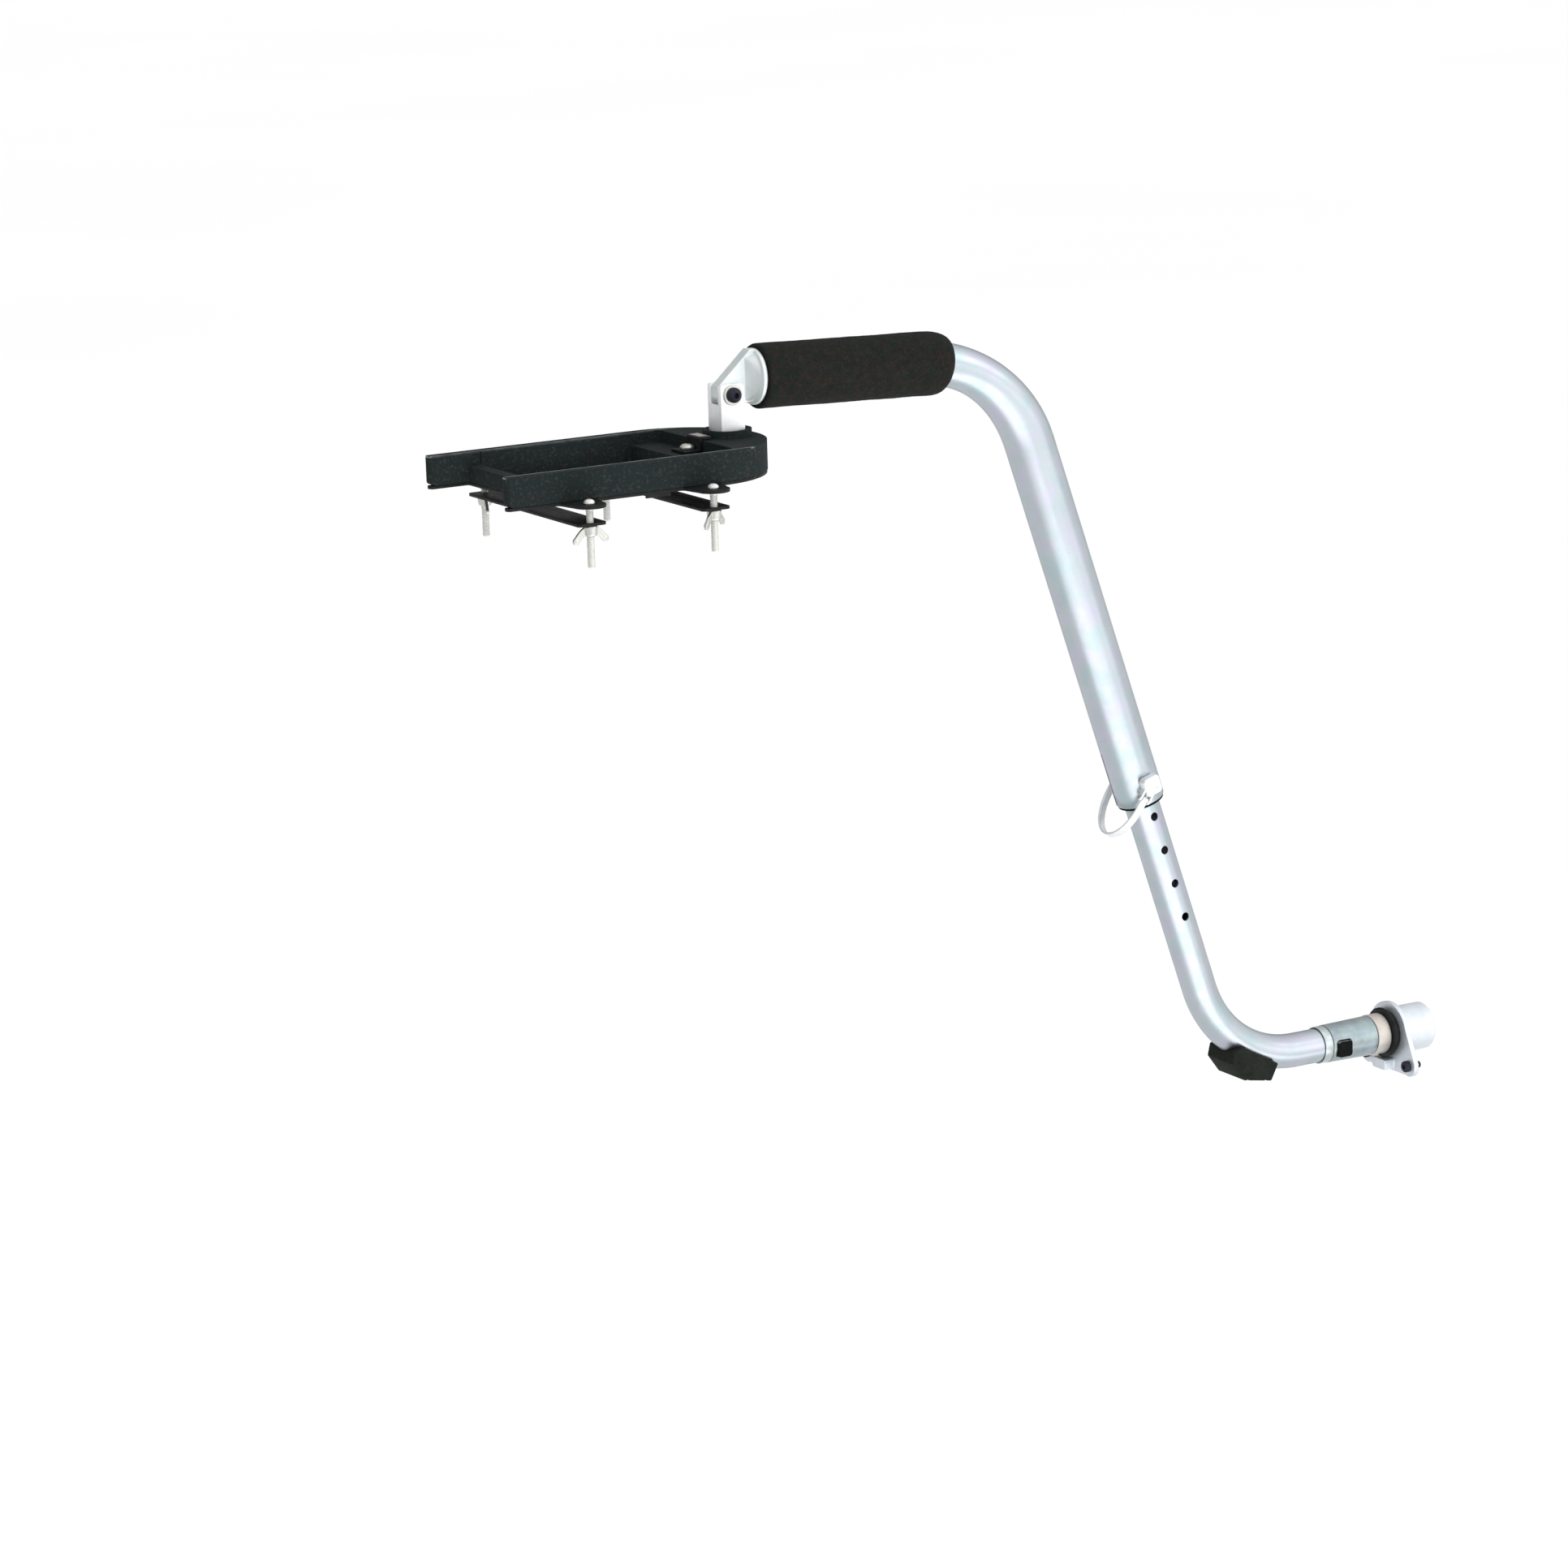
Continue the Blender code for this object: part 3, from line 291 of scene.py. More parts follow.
def foam(name):
    """Closed-cell foam: open skin with pin-prick cells darkened as painted shade, and grey flecks."""
    m = Mat(name)
    big = m.noise(120.0, 4.0, 0.65)
    tint = m.ramp(m.noise(260.0, 3.0, 0.6), (0.36, (0.007, 0.014, 0.011)), (0.50, (0.011, 0.011, 0.010)),
                  (0.64, (0.019, 0.0145, 0.011)))
    base = m.mix(m.span(big, 0.42, 0.70, 0.0, 0.45), tint, (0.020, 0.020, 0.018))
    fleck = m.math('MULTIPLY', m.span(m.noise(1250.0, 3.0, 0.75), 0.53, 0.66, 0.0, 1.0),
                   m.span(m.noise(430.0, 2.0), 0.40, 0.62, 0.2, 1.0))
    base = m.mix(m.math('MULTIPLY', fleck, 0.45), base, (0.060, 0.058, 0.052))
    # painted shade: the pin-prick cells are darkened
    cell = m.cells(1500.0)
    base = m.mix(m.span(cell, 0.0, 0.28, 0.85, 0.0), base, (0.003, 0.003, 0.003))
    m.set(Base_Color=base, Roughness=0.95, Specular_IOR_Level=0.05, Sheen_Weight=0.02, Sheen_Roughness=0.6,
          Sheen_Tint=(0.55, 0.58, 0.60))
    m.bump(cell, 0.75, 0.00035)
    m.bump(m.noise(620.0, 4.0, 0.7), 0.55, 0.00045)
    m.bump(big, 0.25, 0.0008)
    return m.m


def rubber(name, rgb=(0.014, 0.014, 0.015), rough=0.62):
    m = Mat(name)
    r, g, b = rgb
    col = m.ramp(m.noise(160.0, 4.0, 0.6), (0.3, (r * 0.8, g * 0.8, b * 0.8)), (0.7, (r * 1.8, g * 1.8, b * 1.7)))
    m.set(Base_Color=col, Roughness=m.span(m.noise(420.0, 3.0), 0.3, 0.7, rough - 0.07, rough + 0.08), Specular_IOR_Level=0.10)
    m.bump(m.noise(1500.0, 3.0, 0.6), 0.25, 0.00008)
    return m.m


def nylon(name, rgb=(0.60, 0.59, 0.55)):
    m = Mat(name)
    r, g, b = rgb
    col = m.ramp(m.noise(130.0, 3.0), (0.3, (r * 0.93, g * 0.93, b * 0.92)), (0.7, rgb))
    m.set(Base_Color=col, Roughness=m.span(m.noise(500.0, 3.0), 0.3, 0.7, 0.42, 0.56),
          Subsurface_Weight=0.05, Subsurface_Scale=0.002)
    m.bump(m.noise(1400.0, 2.0), 0.12, 0.00006)
    return m.m


def sleeve_zinc(name):
    """Grey-green galvanised sleeve with turning marks round it."""
    m = Mat(name)
    spangle = m.cell_colour(330.0)
    patch = m.noise(90.0, 4.0, 0.6)
    col = m.ramp(patch, (0.30, (0.235, 0.292, 0.306)), (0.52, (0.290, 0.345, 0.362)), (0.74, (0.360, 0.408, 0.424)))
    col = m.mix(0.10, col, spangle, 'SOFT_LIGHT')
    rings = m.noise(1.0, 3.0, 0.6, at=m.mapped(m.coord, (2600.0, 26.0, 26.0)))
    m.set(Base_Color=col, Metallic=0.92, Roughness=m.math('ADD', m.span(patch, 0.3, 0.7, 0.30, 0.42),
                                                         m.span(rings, 0.3, 0.7, -0.04, 0.05)))
    m.bump(rings, 0.16, 0.00005)
    m.bump(m.noise(800.0, 3.0), 0.10, 0.00006)
    return m.m


M_TUBE_UP = tube_metal("upper_tube_satin")
M_TUBE_LOW = tube_metal("lower_tube_satin")
M_CAST = cast_metal("cast_alloy_blasted", (0.70, 0.745, 0.745))
M_CAST_REC = cast_metal("cast_alloy_receiver", (0.62, 0.66, 0.70), 0.7)
M_POST = cast_metal("cast_alloy_post", (0.92, 0.94, 0.945))
M_ZINC = plated("plated_bright", (0.520, 0.518, 0.490), (0.24, 0.36), 0.5, 0.85)
M_THREAD = plated("plated_thread", (0.72, 0.72, 0.69), (0.30, 0.42), 0.3, 0.5)
M_PIN = plated("pin_polished", (0.72, 0.735, 0.745), (0.28, 0.40), 0.0, 0.5)
M_BAND = plated("band_bright", (0.45, 0.49, 0.50), (0.26, 0.38), 0.0)
# painted highlight: the end ring's warm cream tone stands in for a highlight at the sleeve's end
M_RING = plated("ring_turned", (0.50, 0.465, 0.43), (0.38, 0.50), 0.6, 0.7)
M_SHOE = moulding("shoe_moulding", (0.0170, 0.0215, 0.0215), (0.66, 0.78), 0.24, (0.0518, 0.0215))
M_BLACK = moulding("black_moulding", (0.0045, 0.0048, 0.0050), (0.58, 0.70), 0.22)
M_FOOT = rubber("foot_rubber", (0.0072, 0.0090, 0.0072), 0.75)
M_SEAL = rubber("seal_rubber", (0.010, 0.011, 0.011), 0.40)
M_COAT = coated("black_coat")
M_FOAM = foam("foam_skin")
M_SLEEVE = sleeve_zinc("sleeve_galvanised")
M_BOLT = coated("black_oxide", (0.020, 0.019, 0.032))
M_NYLON = nylon("bush_nylon", (0.030, 0.030, 0.032))
M_STOP = rubbed_sheen_plate("stop_plate_rub_and_sheen", 0.0243)


# ================================================================== geometry
def heading(deg):
    return Vector((cos(radians(deg)), 0, sin(radians(deg))))


def arc(cx, cy, r, a0, a1, n):
    return [(cx + r * cos(radians(a0 + (a1 - a0) * i / n)),
             cy + r * sin(radians(a0 + (a1 - a0) * i / n))) for i in range(n + 1)]


def soften(points, r, n=4):
    """Rounds the corners of a closed outline.  A point may carry its own
    radius as a third number."""
    out, count = [], len(points)
    for i, p in enumerate(points):
        ri = p[2] if len(p) > 2 else r
        P, A, B = Vector(p[:2]), Vector(points[i - 1][:2]), Vector(points[(i + 1) % count][:2])
        u, v = A - P, B - P
        la, lb = u.length, v.length
        if ri <= 0 or la < 1e-6 or lb < 1e-6:
            out.append((P.x, P.y))
            continue
        u, v = u / la, v / lb
        ang = acos(max(-1.0, min(1.0, u.dot(v))))
        if ang > pi - 0.03 or ang < 0.05:
            out.append((P.x, P.y))
            continue
        d = min(ri / tan(ang / 2), la * 0.48, lb * 0.48)
        rr = d * tan(ang / 2)
        c = P + (u + v).normalized() * (rr / sin(ang / 2))
        s, e = P + u * d - c, P + v * d - c
        a0, a1 = atan2(s.y, s.x), atan2(e.y, e.x)
        while a1 - a0 > pi:
            a1 -= tau
        while a1 - a0 < -pi:
            a1 += tau
        for k in range(n + 1):
            a = a0 + (a1 - a0) * k / n
            out.append((c.x + rr * cos(a), c.y + rr * sin(a)))
    return out


def new():
    return bmesh.new()


def axes_of(axis):
    w = Vector(axis).normalized()
    ref = Vector((0, 1, 0)) if abs(w.y) < 0.9 else Vector((1, 0, 0))
    u = ref.cross(w).normalized()
    return u, w.cross(u).normalized(), w


def turned(bm, profile, at, axis, seg=48, start=0.0):
    """Turned solid: closed outline of (radius, height) about an axis."""
    u, v, w = axes_of(axis)
    at = Vector(at)
    rings = []
    for r, h in profile:
        if r < 1e-6:
            rings.append([bm.verts.new(at + w * h)])
        else:
            rings.append([bm.verts.new(at + w * h + r * (cos(start + tau * k / seg) * u + sin(start + tau * k / seg) * v))
                          for k in range(seg)])
    for i in range(len(rings)):
        a, b = rings[i], rings[(i + 1) % len(rings)]
        if len(a) == 1 and len(b) == 1:
            continue
        for k in range(seg):
            k2 = (k + 1) % seg
            if len(a) == 1:
                bm.faces.new((a[0], b[k2], b[k]))
            elif len(b) == 1:
                bm.faces.new((a[k], a[k2], b[0]))
            else:
                bm.faces.new((a[k], a[k2], b[k2], b[k]))
    return bm


def lathe(profile, at, axis, r=0.4, seg=48, bm=None, n=3):
    """Turned solid with every corner rounded; points on the axis stay."""
    pts = [(p[0], p[1], 0.0) if p[0] < 1e-6 else p for p in profile]
    return turned(bm or new(), soften(pts, r, n), at, axis, seg)


def ring(r_in, r_out, h0, h1):
    return [(r_in, h0), (r_out, h0), (r_out, h1), (r_in, h1)]


def rod(r, length, start=0.0):
    return [(0, start), (r, start), (r, start + length), (0, start + length)]


def prism(bm, outline, lo, hi, plane='XY'):
    def pt(a, b, c):
        return (a, b, c) if plane == 'XY' else ((a, c, b) if plane == 'XZ' else (c, a, b))
    low = [bm.verts.new(pt(p[0], p[1], lo)) for p in outline]
    top = [bm.verts.new(pt(p[0], p[1], hi)) for p in outline]
    bm.faces.new(low)
    bm.faces.new(top)
    n = len(outline)
    for i in range(n):
        bm.faces.new((low[i], low[(i + 1) % n], top[(i + 1) % n], top[i]))
    return bm


def box(bm, x0, x1, y0, y1, z0, z1):
    return prism(bm, [(x0, y0), (x1, y0), (x1, y1), (x0, y1)], z0, z1)


def rounded_box(x0, x1, y0, y1, r, n=8):
    return (arc(x1 - r, y0 + r, r, -90, 0, n) + arc(x1 - r, y1 - r, r, 0, 90, n)
            + arc(x0 + r, y1 - r, r, 90, 180, n) + arc(x0 + r, y0 + r, r, 180, 270, n))


def to_object(name, bm, sharp=35.0):
    bmesh.ops.remove_doubles(bm, verts=bm.verts, dist=1e-4)
    bmesh.ops.recalc_face_normals(bm, faces=bm.faces)
    if bm.calc_volume(signed=True) < 0:
        bmesh.ops.reverse_faces(bm, faces=bm.faces)
    bmesh.ops.scale(bm, vec=(MM, MM, MM), verts=bm.verts)
    me = bpy.data.meshes.new(name)
    bm.to_mesh(me)
    bm.free()
    me.shade_smooth()
    if sharp:
        me.set_sharp_from_angle(angle=radians(sharp))
    ob = bpy.data.objects.new(name, me)
    bpy.context.scene.collection.objects.link(ob)
    return ob


def settle(ob, sharp=None):
    """Keeps the shape that the modifiers make."""
    dg = bpy.context.evaluated_depsgraph_get()
    me = bpy.data.meshes.new_from_object(ob.evaluated_get(dg), preserve_all_data_layers=True, depsgraph=dg)
    old = ob.data
    ob.modifiers.clear()
    ob.data = me
    bpy.data.meshes.remove(old)
    me.name = ob.name
    if sharp is not None:
        me.shade_smooth()
        me.set_sharp_from_angle(angle=radians(sharp))
    return ob


def carve(ob, bm, op='DIFFERENCE', sharp=35.0):
    tool = to_object("tool", bm, None)
    m = ob.modifiers.new("b", 'BOOLEAN')
    m.operation, m.solver, m.object = op, 'EXACT', tool
    settle(ob, sharp)
    data = tool.data
    bpy.data.objects.remove(tool)
    bpy.data.meshes.remove(data)
    return ob


def bevel(ob, width, segs=3, angle=40.0, keep=35.0):
    m = ob.modifiers.new("edge", 'BEVEL')
    m.width, m.segments, m.limit_method, m.angle_limit = width * MM, segs, 'ANGLE', radians(angle)
    m.use_clamp_overlap = True
    settle(ob, keep)
    return ob


def cast(ob, voxel, rounds=4, factor=0.5):
    """Melts a set of solids into one casting with small fillets."""
    m = ob.modifiers.new("r", 'REMESH')
    m.mode, m.voxel_size, m.use_smooth_shade = 'VOXEL', voxel * MM, True
    if rounds:
        s = ob.modifiers.new("s", 'SMOOTH')
        s.factor, s.iterations = factor, rounds
    settle(ob)
    ob.data.shade_smooth()
    return ob


def wear(ob, material, body, nodes=()):
    ob.data.materials.clear()
    ob.data.materials.append(material)
    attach(ob, body)
    if nodes:
        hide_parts(*nodes)
    return ob


def sweep_uv(name, outer, inner, seg, sharp=35.0):
    """Tube along a plane curve.  outer and inner are (point, direction,
    radius, distance); UVs run round and along it."""
    bm = new()
    uv = bm.loops.layers.uv.new("along")

    def rings(stations):
        made = []
        for p, d, r, s in stations:
            n = Y.cross(d).normalized()
            made.append(([bm.verts.new(p + r * (cos(tau * k / seg) * n + sin(tau * k / seg) * Y)) for k in range(seg)], s))
        return made

    def skin(a, b, flip=False):
        (ra, sa), (rb, sb) = a, b
        for k in range(seg):
            k2 = (k + 1) % seg
            f = bm.faces.new((ra[k], ra[k2], rb[k2], rb[k]))
            u0, u1 = k / seg, (k + 1) / seg
            for lp, c in zip(f.loops, ((u0, sa / 100), (u1, sa / 100), (u1, sb / 100), (u0, sb / 100))):
                lp[uv].uv = c
    o, i = rings(outer), rings(inner)
    for chain in (o, i):
        for a, b in zip(chain, chain[1:]):
            skin(a, b)
    skin(o[0], i[0])
    skin(o[-1], i[-1])
    return to_object(name, bm, sharp)


# ------------------------------------------------- numbers shared with the CAD
ARM_TILT, STRAIGHT_1, BEND_1_R, TURN_1, STRAIGHT_2 = 2.0, 131.2, 93.0, 69.8, 277.3
A0, A1 = -ARM_TILT, -ARM_TILT - TURN_1
P_START = Vector((22.4, 0, 59.7))
P_BEND1 = P_START + heading(A0) * STRAIGHT_1
C_BEND1 = P_BEND1 + heading(A0 - 90) * BEND_1_R
P_LONG = C_BEND1 + heading(A1 + 90) * BEND_1_R
LONG = heading(A1)
LOWER_BEND, BEND_2_R = 432.7, 87.0
P_BEND2 = P_LONG + LONG * LOWER_BEND
C_BEND2 = P_BEND2 + heading(A1 + 90) * BEND_2_R
END_Z = (C_BEND2 + Vector((0, 0, -BEND_2_R))).z
BUTTON_Z = END_Z - 1.6
ARC_1 = BEND_1_R * radians(TURN_1)
ARC_2 = BEND_2_R * radians(-A1)
PIN = P_LONG + LONG * 263.0
PIVOT_Z = 50.3
LEFT_OF = {"left": -1, "right": 1}


def upper_point(s):
    if s <= STRAIGHT_1:
        return P_START + heading(A0) * s, heading(A0)
    if s <= STRAIGHT_1 + ARC_1:
        a = A0 - (s - STRAIGHT_1) / ARC_1 * TURN_1
        return C_BEND1 + heading(a + 90) * BEND_1_R, heading(a)
    return P_LONG + LONG * (s - STRAIGHT_1 - ARC_1), LONG


def lower_point(s):
    """s runs from the start of the long straight."""
    if s <= LOWER_BEND:
        return P_LONG + LONG * s, LONG
    if s <= LOWER_BEND + ARC_2:
        a = A1 + (s - LOWER_BEND) / ARC_2 * (0 - A1)
        return C_BEND2 + heading(a - 90) * BEND_2_R, heading(a)
    return Vector((C_BEND2.x + s - LOWER_BEND - ARC_2, 0, END_Z)), Vector((1, 0, 0))


# ================================================================== the arms
def build_upper_tube():
    end = STRAIGHT_1 + ARC_1 + STRAIGHT_2

    def smooth(t):
        t = min(1.0, max(0.0, t))
        return t * t * (3 - 2 * t)

    def r_at(s):
        return (30.4 + (35.0 - 30.4) * smooth((s - 158.0) / (STRAIGHT_1 + ARC_1 - 158.0))) / 2
    stops = [1.2, 60, 110, STRAIGHT_1]
    stops += [STRAIGHT_1 + ARC_1 * i / 44 for i in range(1, 45)]
    stops += [STRAIGHT_1 + ARC_1 + STRAIGHT_2 * i / 12 for i in range(1, 12)] + [end - 12, end - 0.5]
    outer = [(*upper_point(0.8), r_at(0) - 0.35, 0.8)]
    outer += [(*upper_point(s), r_at(s), s) for s in stops]
    outer += [(*upper_point(end - 0.15), r_at(end) - 0.15, end - 0.15), (*upper_point(end), r_at(end) - 0.45, end)]
    inner = [(*upper_point(s), r_at(s) - 1.6, s) for s in [0.8] + stops[1:-1]]
    inner += [(*upper_point(end - 0.3), r_at(end) - 1.6, end - 0.3), (*upper_point(end), r_at(end) - 1.35, end)]
    tube = sweep_uv("arm_tube_upper", outer, inner, 112)
    bm = new()
    turned(bm, rod(2.9, 80, -40), PIN, (0, 1, 0), 40)
    side = Y.cross(LONG)
    if side.x > 0:
        side = -side
    out = cos(radians(15)) * side + sin(radians(15)) * Y
    across = LONG.cross(out)
    # slit with a round end
    outline = [(-0.9, 6.0), (0.9, 6.0)]
    outline += [(0.9 * cos(radians(t)), -41.1 - 0.9 * sin(radians(t))) for t in range(0, 181, 15)]
    lo = [bm.verts.new(P_LONG + LONG * (STRAIGHT_2 + b) + across * a + out * 14.0) for a, b in outline]
    hi = [bm.verts.new(P_LONG + LONG * (STRAIGHT_2 + b) + across * a + out * 20.0) for a, b in outline]
    bm.faces.new(lo)
    bm.faces.new(hi)
    for i in range(len(lo)):
        j = (i + 1) % len(lo)
        bm.faces.new((lo[i], lo[j], hi[j], hi[i]))
    carve(tube, bm, sharp=40)
    wear(tube, M_TUBE_UP, "upper_arm", ["upper_tube"])


def build_grip():
    seg, r0, neck = 128, 22.05, 15.2 + 0.25
    stations = []

    def drop(s):
        d = 0.0
        if s < 2.2:
            d = 1.7 * (1 - sqrt(max(0.0, 1 - ((2.2 - s) / 1.95) ** 2)))
        if s > 131.5:
            t = min(1.0, (s - 131.5) / 15.0)
            d += 5.0 * (1 - sqrt(max(0.0, 1 - t ** 2.6)))
        return d
    stops = [0.3, 0.5, 0.9, 1.5, 2.2] + [2.2 + 129.3 * i / 60 for i in range(1, 61)]
    stops += [133.5, 135.5, 137.5, 139.5, 141.0, 142.5, 143.7, 144.7, 145.5, 146.0, 146.3, 146.5]
    bm = new()
    rows = []
    for s in stops:
        p, d = upper_point(s)
        n = Y.cross(d).normalized()
        row = []
        for k in range(seg):
            a = tau * k / seg
            e = cos(a) * n + sin(a) * Y
            r = r0 - drop(s)
            q = p + r * e
            # hand-worn surface: long soft waves and a finer crumb
            w = noise.noise(q * 0.045) * 0.28 + noise.noise(q * 0.16 + Vector((7, 3, 1))) * 0.12 \
                + noise.noise(q * 0.75 + Vector((1, 9, 4))) * 0.07
            row.append(bm.verts.new(q + e * (w - 0.16)))
        rows.append(row)
    bore = []
    for s in (146.5, 110.0, 60.0, 0.3):
        p, d = upper_point(s)
        n = Y.cross(d).normalized()
        bore.append([bm.verts.new(p + neck * (cos(tau * k / seg) * n + sin(tau * k / seg) * Y)) for k in range(seg)])
    # end faces, slightly dished, in two steps
    ends = []
    for s, rows_end in ((146.5, rows[-1]), (0.3, rows[0])):
        p, d = upper_point(s)
        mid = []
        inward = -1 if s > 1 else 1
        for k in range(seg):
            c = p + (rows_end[k].co - p) * 0.90
            mid.append(bm.verts.new(c + d * inward * 0.15))
        ends.append(mid)
    chain = rows + [ends[0]] + bore + [ends[1]]
    for i in range(len(chain)):
        a, b = chain[i], chain[(i + 1) % len(chain)]
        for k in range(seg):
            k2 = (k + 1) % seg
            bm.faces.new((a[k], a[k2], b[k2], b[k]))
    grip = to_object("grip_foam", bm, 60)
    wear(grip, M_FOAM, "upper_arm", ["foam_grip"])


def build_bushes():
    guide = to_object("mouth_bush", lathe([(12.8, 268.5), (15.6, 268.5), (15.6, 277.6), (16.6, 277.6), (16.6, 279.4),
                                           (12.8, 279.4)], P_LONG, LONG, 0.35, 80))
    wear(guide, M_BLACK, "upper_arm", ["guide_bush"])


def build_lower_tube():
    s0, s_end = 180.0, LOWER_BEND + ARC_2 + (530.6 - C_BEND2.x)
    stops = [s0 + 0.5] + [s0 + (LOWER_BEND - s0) * i / 22 for i in range(1, 23)]
    stops += [LOWER_BEND + ARC_2 * i / 48 for i in range(1, 49)]
    stops += [LOWER_BEND + ARC_2 + 4, LOWER_BEND + ARC_2 + 14, s_end - 0.6]
    outer = [(*lower_point(s0), 12.1, s0)] + [(*lower_point(s), 12.5, s) for s in stops] + [(*lower_point(s_end), 12.0, s_end)]
    inner = [(*lower_point(s), 10.5, s) for s in [s0] + stops[1:-1] + [s_end]]
    tube = sweep_uv("arm_tube_lower", outer, inner, 96)
    bm = new()
    for k in range(-2, 5):
        at = P_LONG + LONG * (263.0 + 27.0 * k)
        for side in (-1, 1):
            turned(bm, [(0, 6), (2.9, 6), (2.9, 12.05), (3.2, 12.45), (3.9, 13.6), (3.9, 15), (0, 15)],
                   at, (0, side, 0), 36)
    half = 12.6 / 2 + 0.3
    prism(bm, rounded_box(492 - half, 492 + half, BUTTON_Z - half, BUTTON_Z + half, 1.6, 4), -20, -4, 'XZ')
    radial = Vector((412 - C_BEND2.x, 0, -sqrt((BEND_2_R + 12.5) ** 2 - (412 - C_BEND2.x) ** 2))).normalized()
    turned(bm, rod(2.5, 12, BEND_2_R + 6), C_BEND2, radial, 24)
    carve(tube, bm, sharp=38)
    wear(tube, M_TUBE_LOW, "lower_arm", ["lower_tube"])


def build_foot():
    outline = soften([(393.4, -467.6), (391.3, -476.5), (401.0, -489.8), (425.0, -494.0), (431.2, -482.0),
                      (400.4, -465.0)], 1.4, 4)
    foot = to_object("foot_block", prism(new(), outline, -16, 16, 'XZ'))
    bm = new()
    rings = []
    seg = 72
    path = [(P_BEND2 - LONG * 20, LONG)]
    for i in range(0, 41):
        a = A1 + (20 - A1) * i / 40
        path.append((C_BEND2 + heading(a - 90) * BEND_2_R, heading(a)))
    for p, d in path:
        n = Y.cross(d).normalized()
        rings.append([bm.verts.new(p + 12.8 * (cos(tau * k / seg) * n + sin(tau * k / seg) * Y)) for k in range(seg)])
    for a, b in zip(rings, rings[1:]):
        for k in range(seg):
            bm.faces.new((a[k], a[(k + 1) % seg], b[(k + 1) % seg], b[k]))
    bm.faces.new(rings[0])
    bm.faces.new(rings[-1])
    carve(foot, bm)
    radial = Vector((412 - C_BEND2.x, 0, -sqrt((BEND_2_R + 12.5) ** 2 - (412 - C_BEND2.x) ** 2))).normalized()
    bm = new()
    turned(bm, [(0, 80), (2.5, 80), (2.5, 104.6), (5.0, 104.6), (5.0, 125), (0, 125)], C_BEND2, radial, 36)
    carve(foot, bm)
    # two shallow tread grooves across the sole
    bm = new()
    for x in (404.6, 420.2):
        t = (x - 401.0) / 24.0
        z = -489.8 - 4.2 * t
        prism(bm, [(x - 0.8, z + 1.1), (x + 0.8, z + 0.8), (x + 1.1, z - 3), (x - 1.1, z - 3)], -20, 20, 'XZ')
    carve(foot, bm)
    bevel(foot, 0.7, 3, 38, 40)
    wear(foot, M_FOOT, "lower_arm", ["foot"])
    bm = lathe([(0, 95), (2.2, 95), (2.2, 104.9), (4.4, 104.9), (4.4, 107.2), (3.4, 108.2), (0, 108.4)],
               C_BEND2, radial, 0.25, 32)
    screw = to_object("foot_screw_head", bm)
    for slot in cross_recess(C_BEND2 + radial * 108.4, radial, 2.4):
        carve(screw, slot)
    wear(screw, M_ZINC, "lower_arm", ["foot_screw"])


def cross_recess(at, axis, reach):
    """The two tapered slots of a cross recess, their mouth at the point."""
    u, v, w = axes_of(axis)
    slots = []
    for a, b in ((u, v), (v, u)):
        bm = new()
        pts = []
        for h, k in ((0.6, 1.0), (-1.5, 0.45)):
            for sa in (-1, 1):
                for sb in (-1, 1):
                    pts.append(bm.verts.new(Vector(at) + w * h + a * (sa * reach * k) + b * (sb * 0.48 * k)))
        bmesh.ops.convex_hull(bm, input=pts)
        slots.append(bm)
    return slots


def build_coupling():
    at = Vector((0, 0, END_Z))
    band = to_object("band", lathe([(12.8, 475.8), (13.6, 475.8), (13.6, 482.7), (12.8, 482.7)], at, (1, 0, 0), 0.35, 96))
    wear(band, M_BAND, "lower_arm", ["joint_band"])
    sleeve = to_object("sleeve", lathe([(12.8, 483.0), (13.9, 483.0), (14.0, 489.0, 0), (14.5, 519.0, 0), (14.65, 522.1), (12.8, 522.1)],
                                       at, (1, 0, 0), 0.45, 112))
    half = 12.6 / 2 + 0.3
    bm = new()
    prism(bm, rounded_box(492 - half, 492 + half, BUTTON_Z - half, BUTTON_Z + half, 2.2, 5), -25, -4, 'XZ')
    carve(sleeve, bm)
    wear(sleeve, M_SLEEVE, "lower_arm", ["coupling_sleeve"])
    end = to_object("end_ring_turned", lathe([(12.8, 522.5, 0.2), (15.0, 522.5, 0.7), (15.0, 534.2, 1.3), (10.8, 534.2, 0.6),
                                              (10.8, 530.9, 0.2), (12.8, 530.9, 0.2)], at, (1, 0, 0), 0.5, 112))
    wear(end, M_RING, "lower_arm", ["end_ring"])

    # push button: pillow cap on a stem
    b = 12.6 / 2
    bm = new()
    rows = []
    for y, k in ((-12.6, 1.0), (-14.7, 1.0), (-15.25, 0.975), (-15.6, 0.92), (-15.8, 0.83), (-15.87, 0.60), (-15.9, 0.3)):
        out = rounded_box(-b * k, b * k, -b * k, b * k, 2.6 * k, 6)
        rows.append([bm.verts.new((492 + p[0], y, BUTTON_Z + p[1])) for p in out])
    for r1, r2 in zip(rows, rows[1:]):
        for i in range(len(r1)):
            j = (i + 1) % len(r1)
            bm.faces.new((r1[i], r1[j], r2[j], r2[i]))
    bm.faces.new(rows[0])
    bm.faces.new(rows[-1])
    cap = to_object("button_cap", bm, 40)
    carve(cap, turned(new(), rod(3.0, 5.0, 9.8), (492, 0, BUTTON_Z), (0, -1, 0), 32), 'UNION', 40)
    # finger dish
    bm = new()
    bmesh.ops.create_icosphere(bm, subdivisions=4, radius=16.0, matrix=Matrix.Translation((492, -15.9 - 15.45, BUTTON_Z)))
    carve(cap, bm, 'DIFFERENCE', 20)
    wear(cap, M_BLACK, "button", ["release_button"])


# ============================================================ pin and its bail
BAIL_DIR = Vector((-0.53, 0, -0.848)).normalized()
BAIL_CROSS = Y.cross(BAIL_DIR)


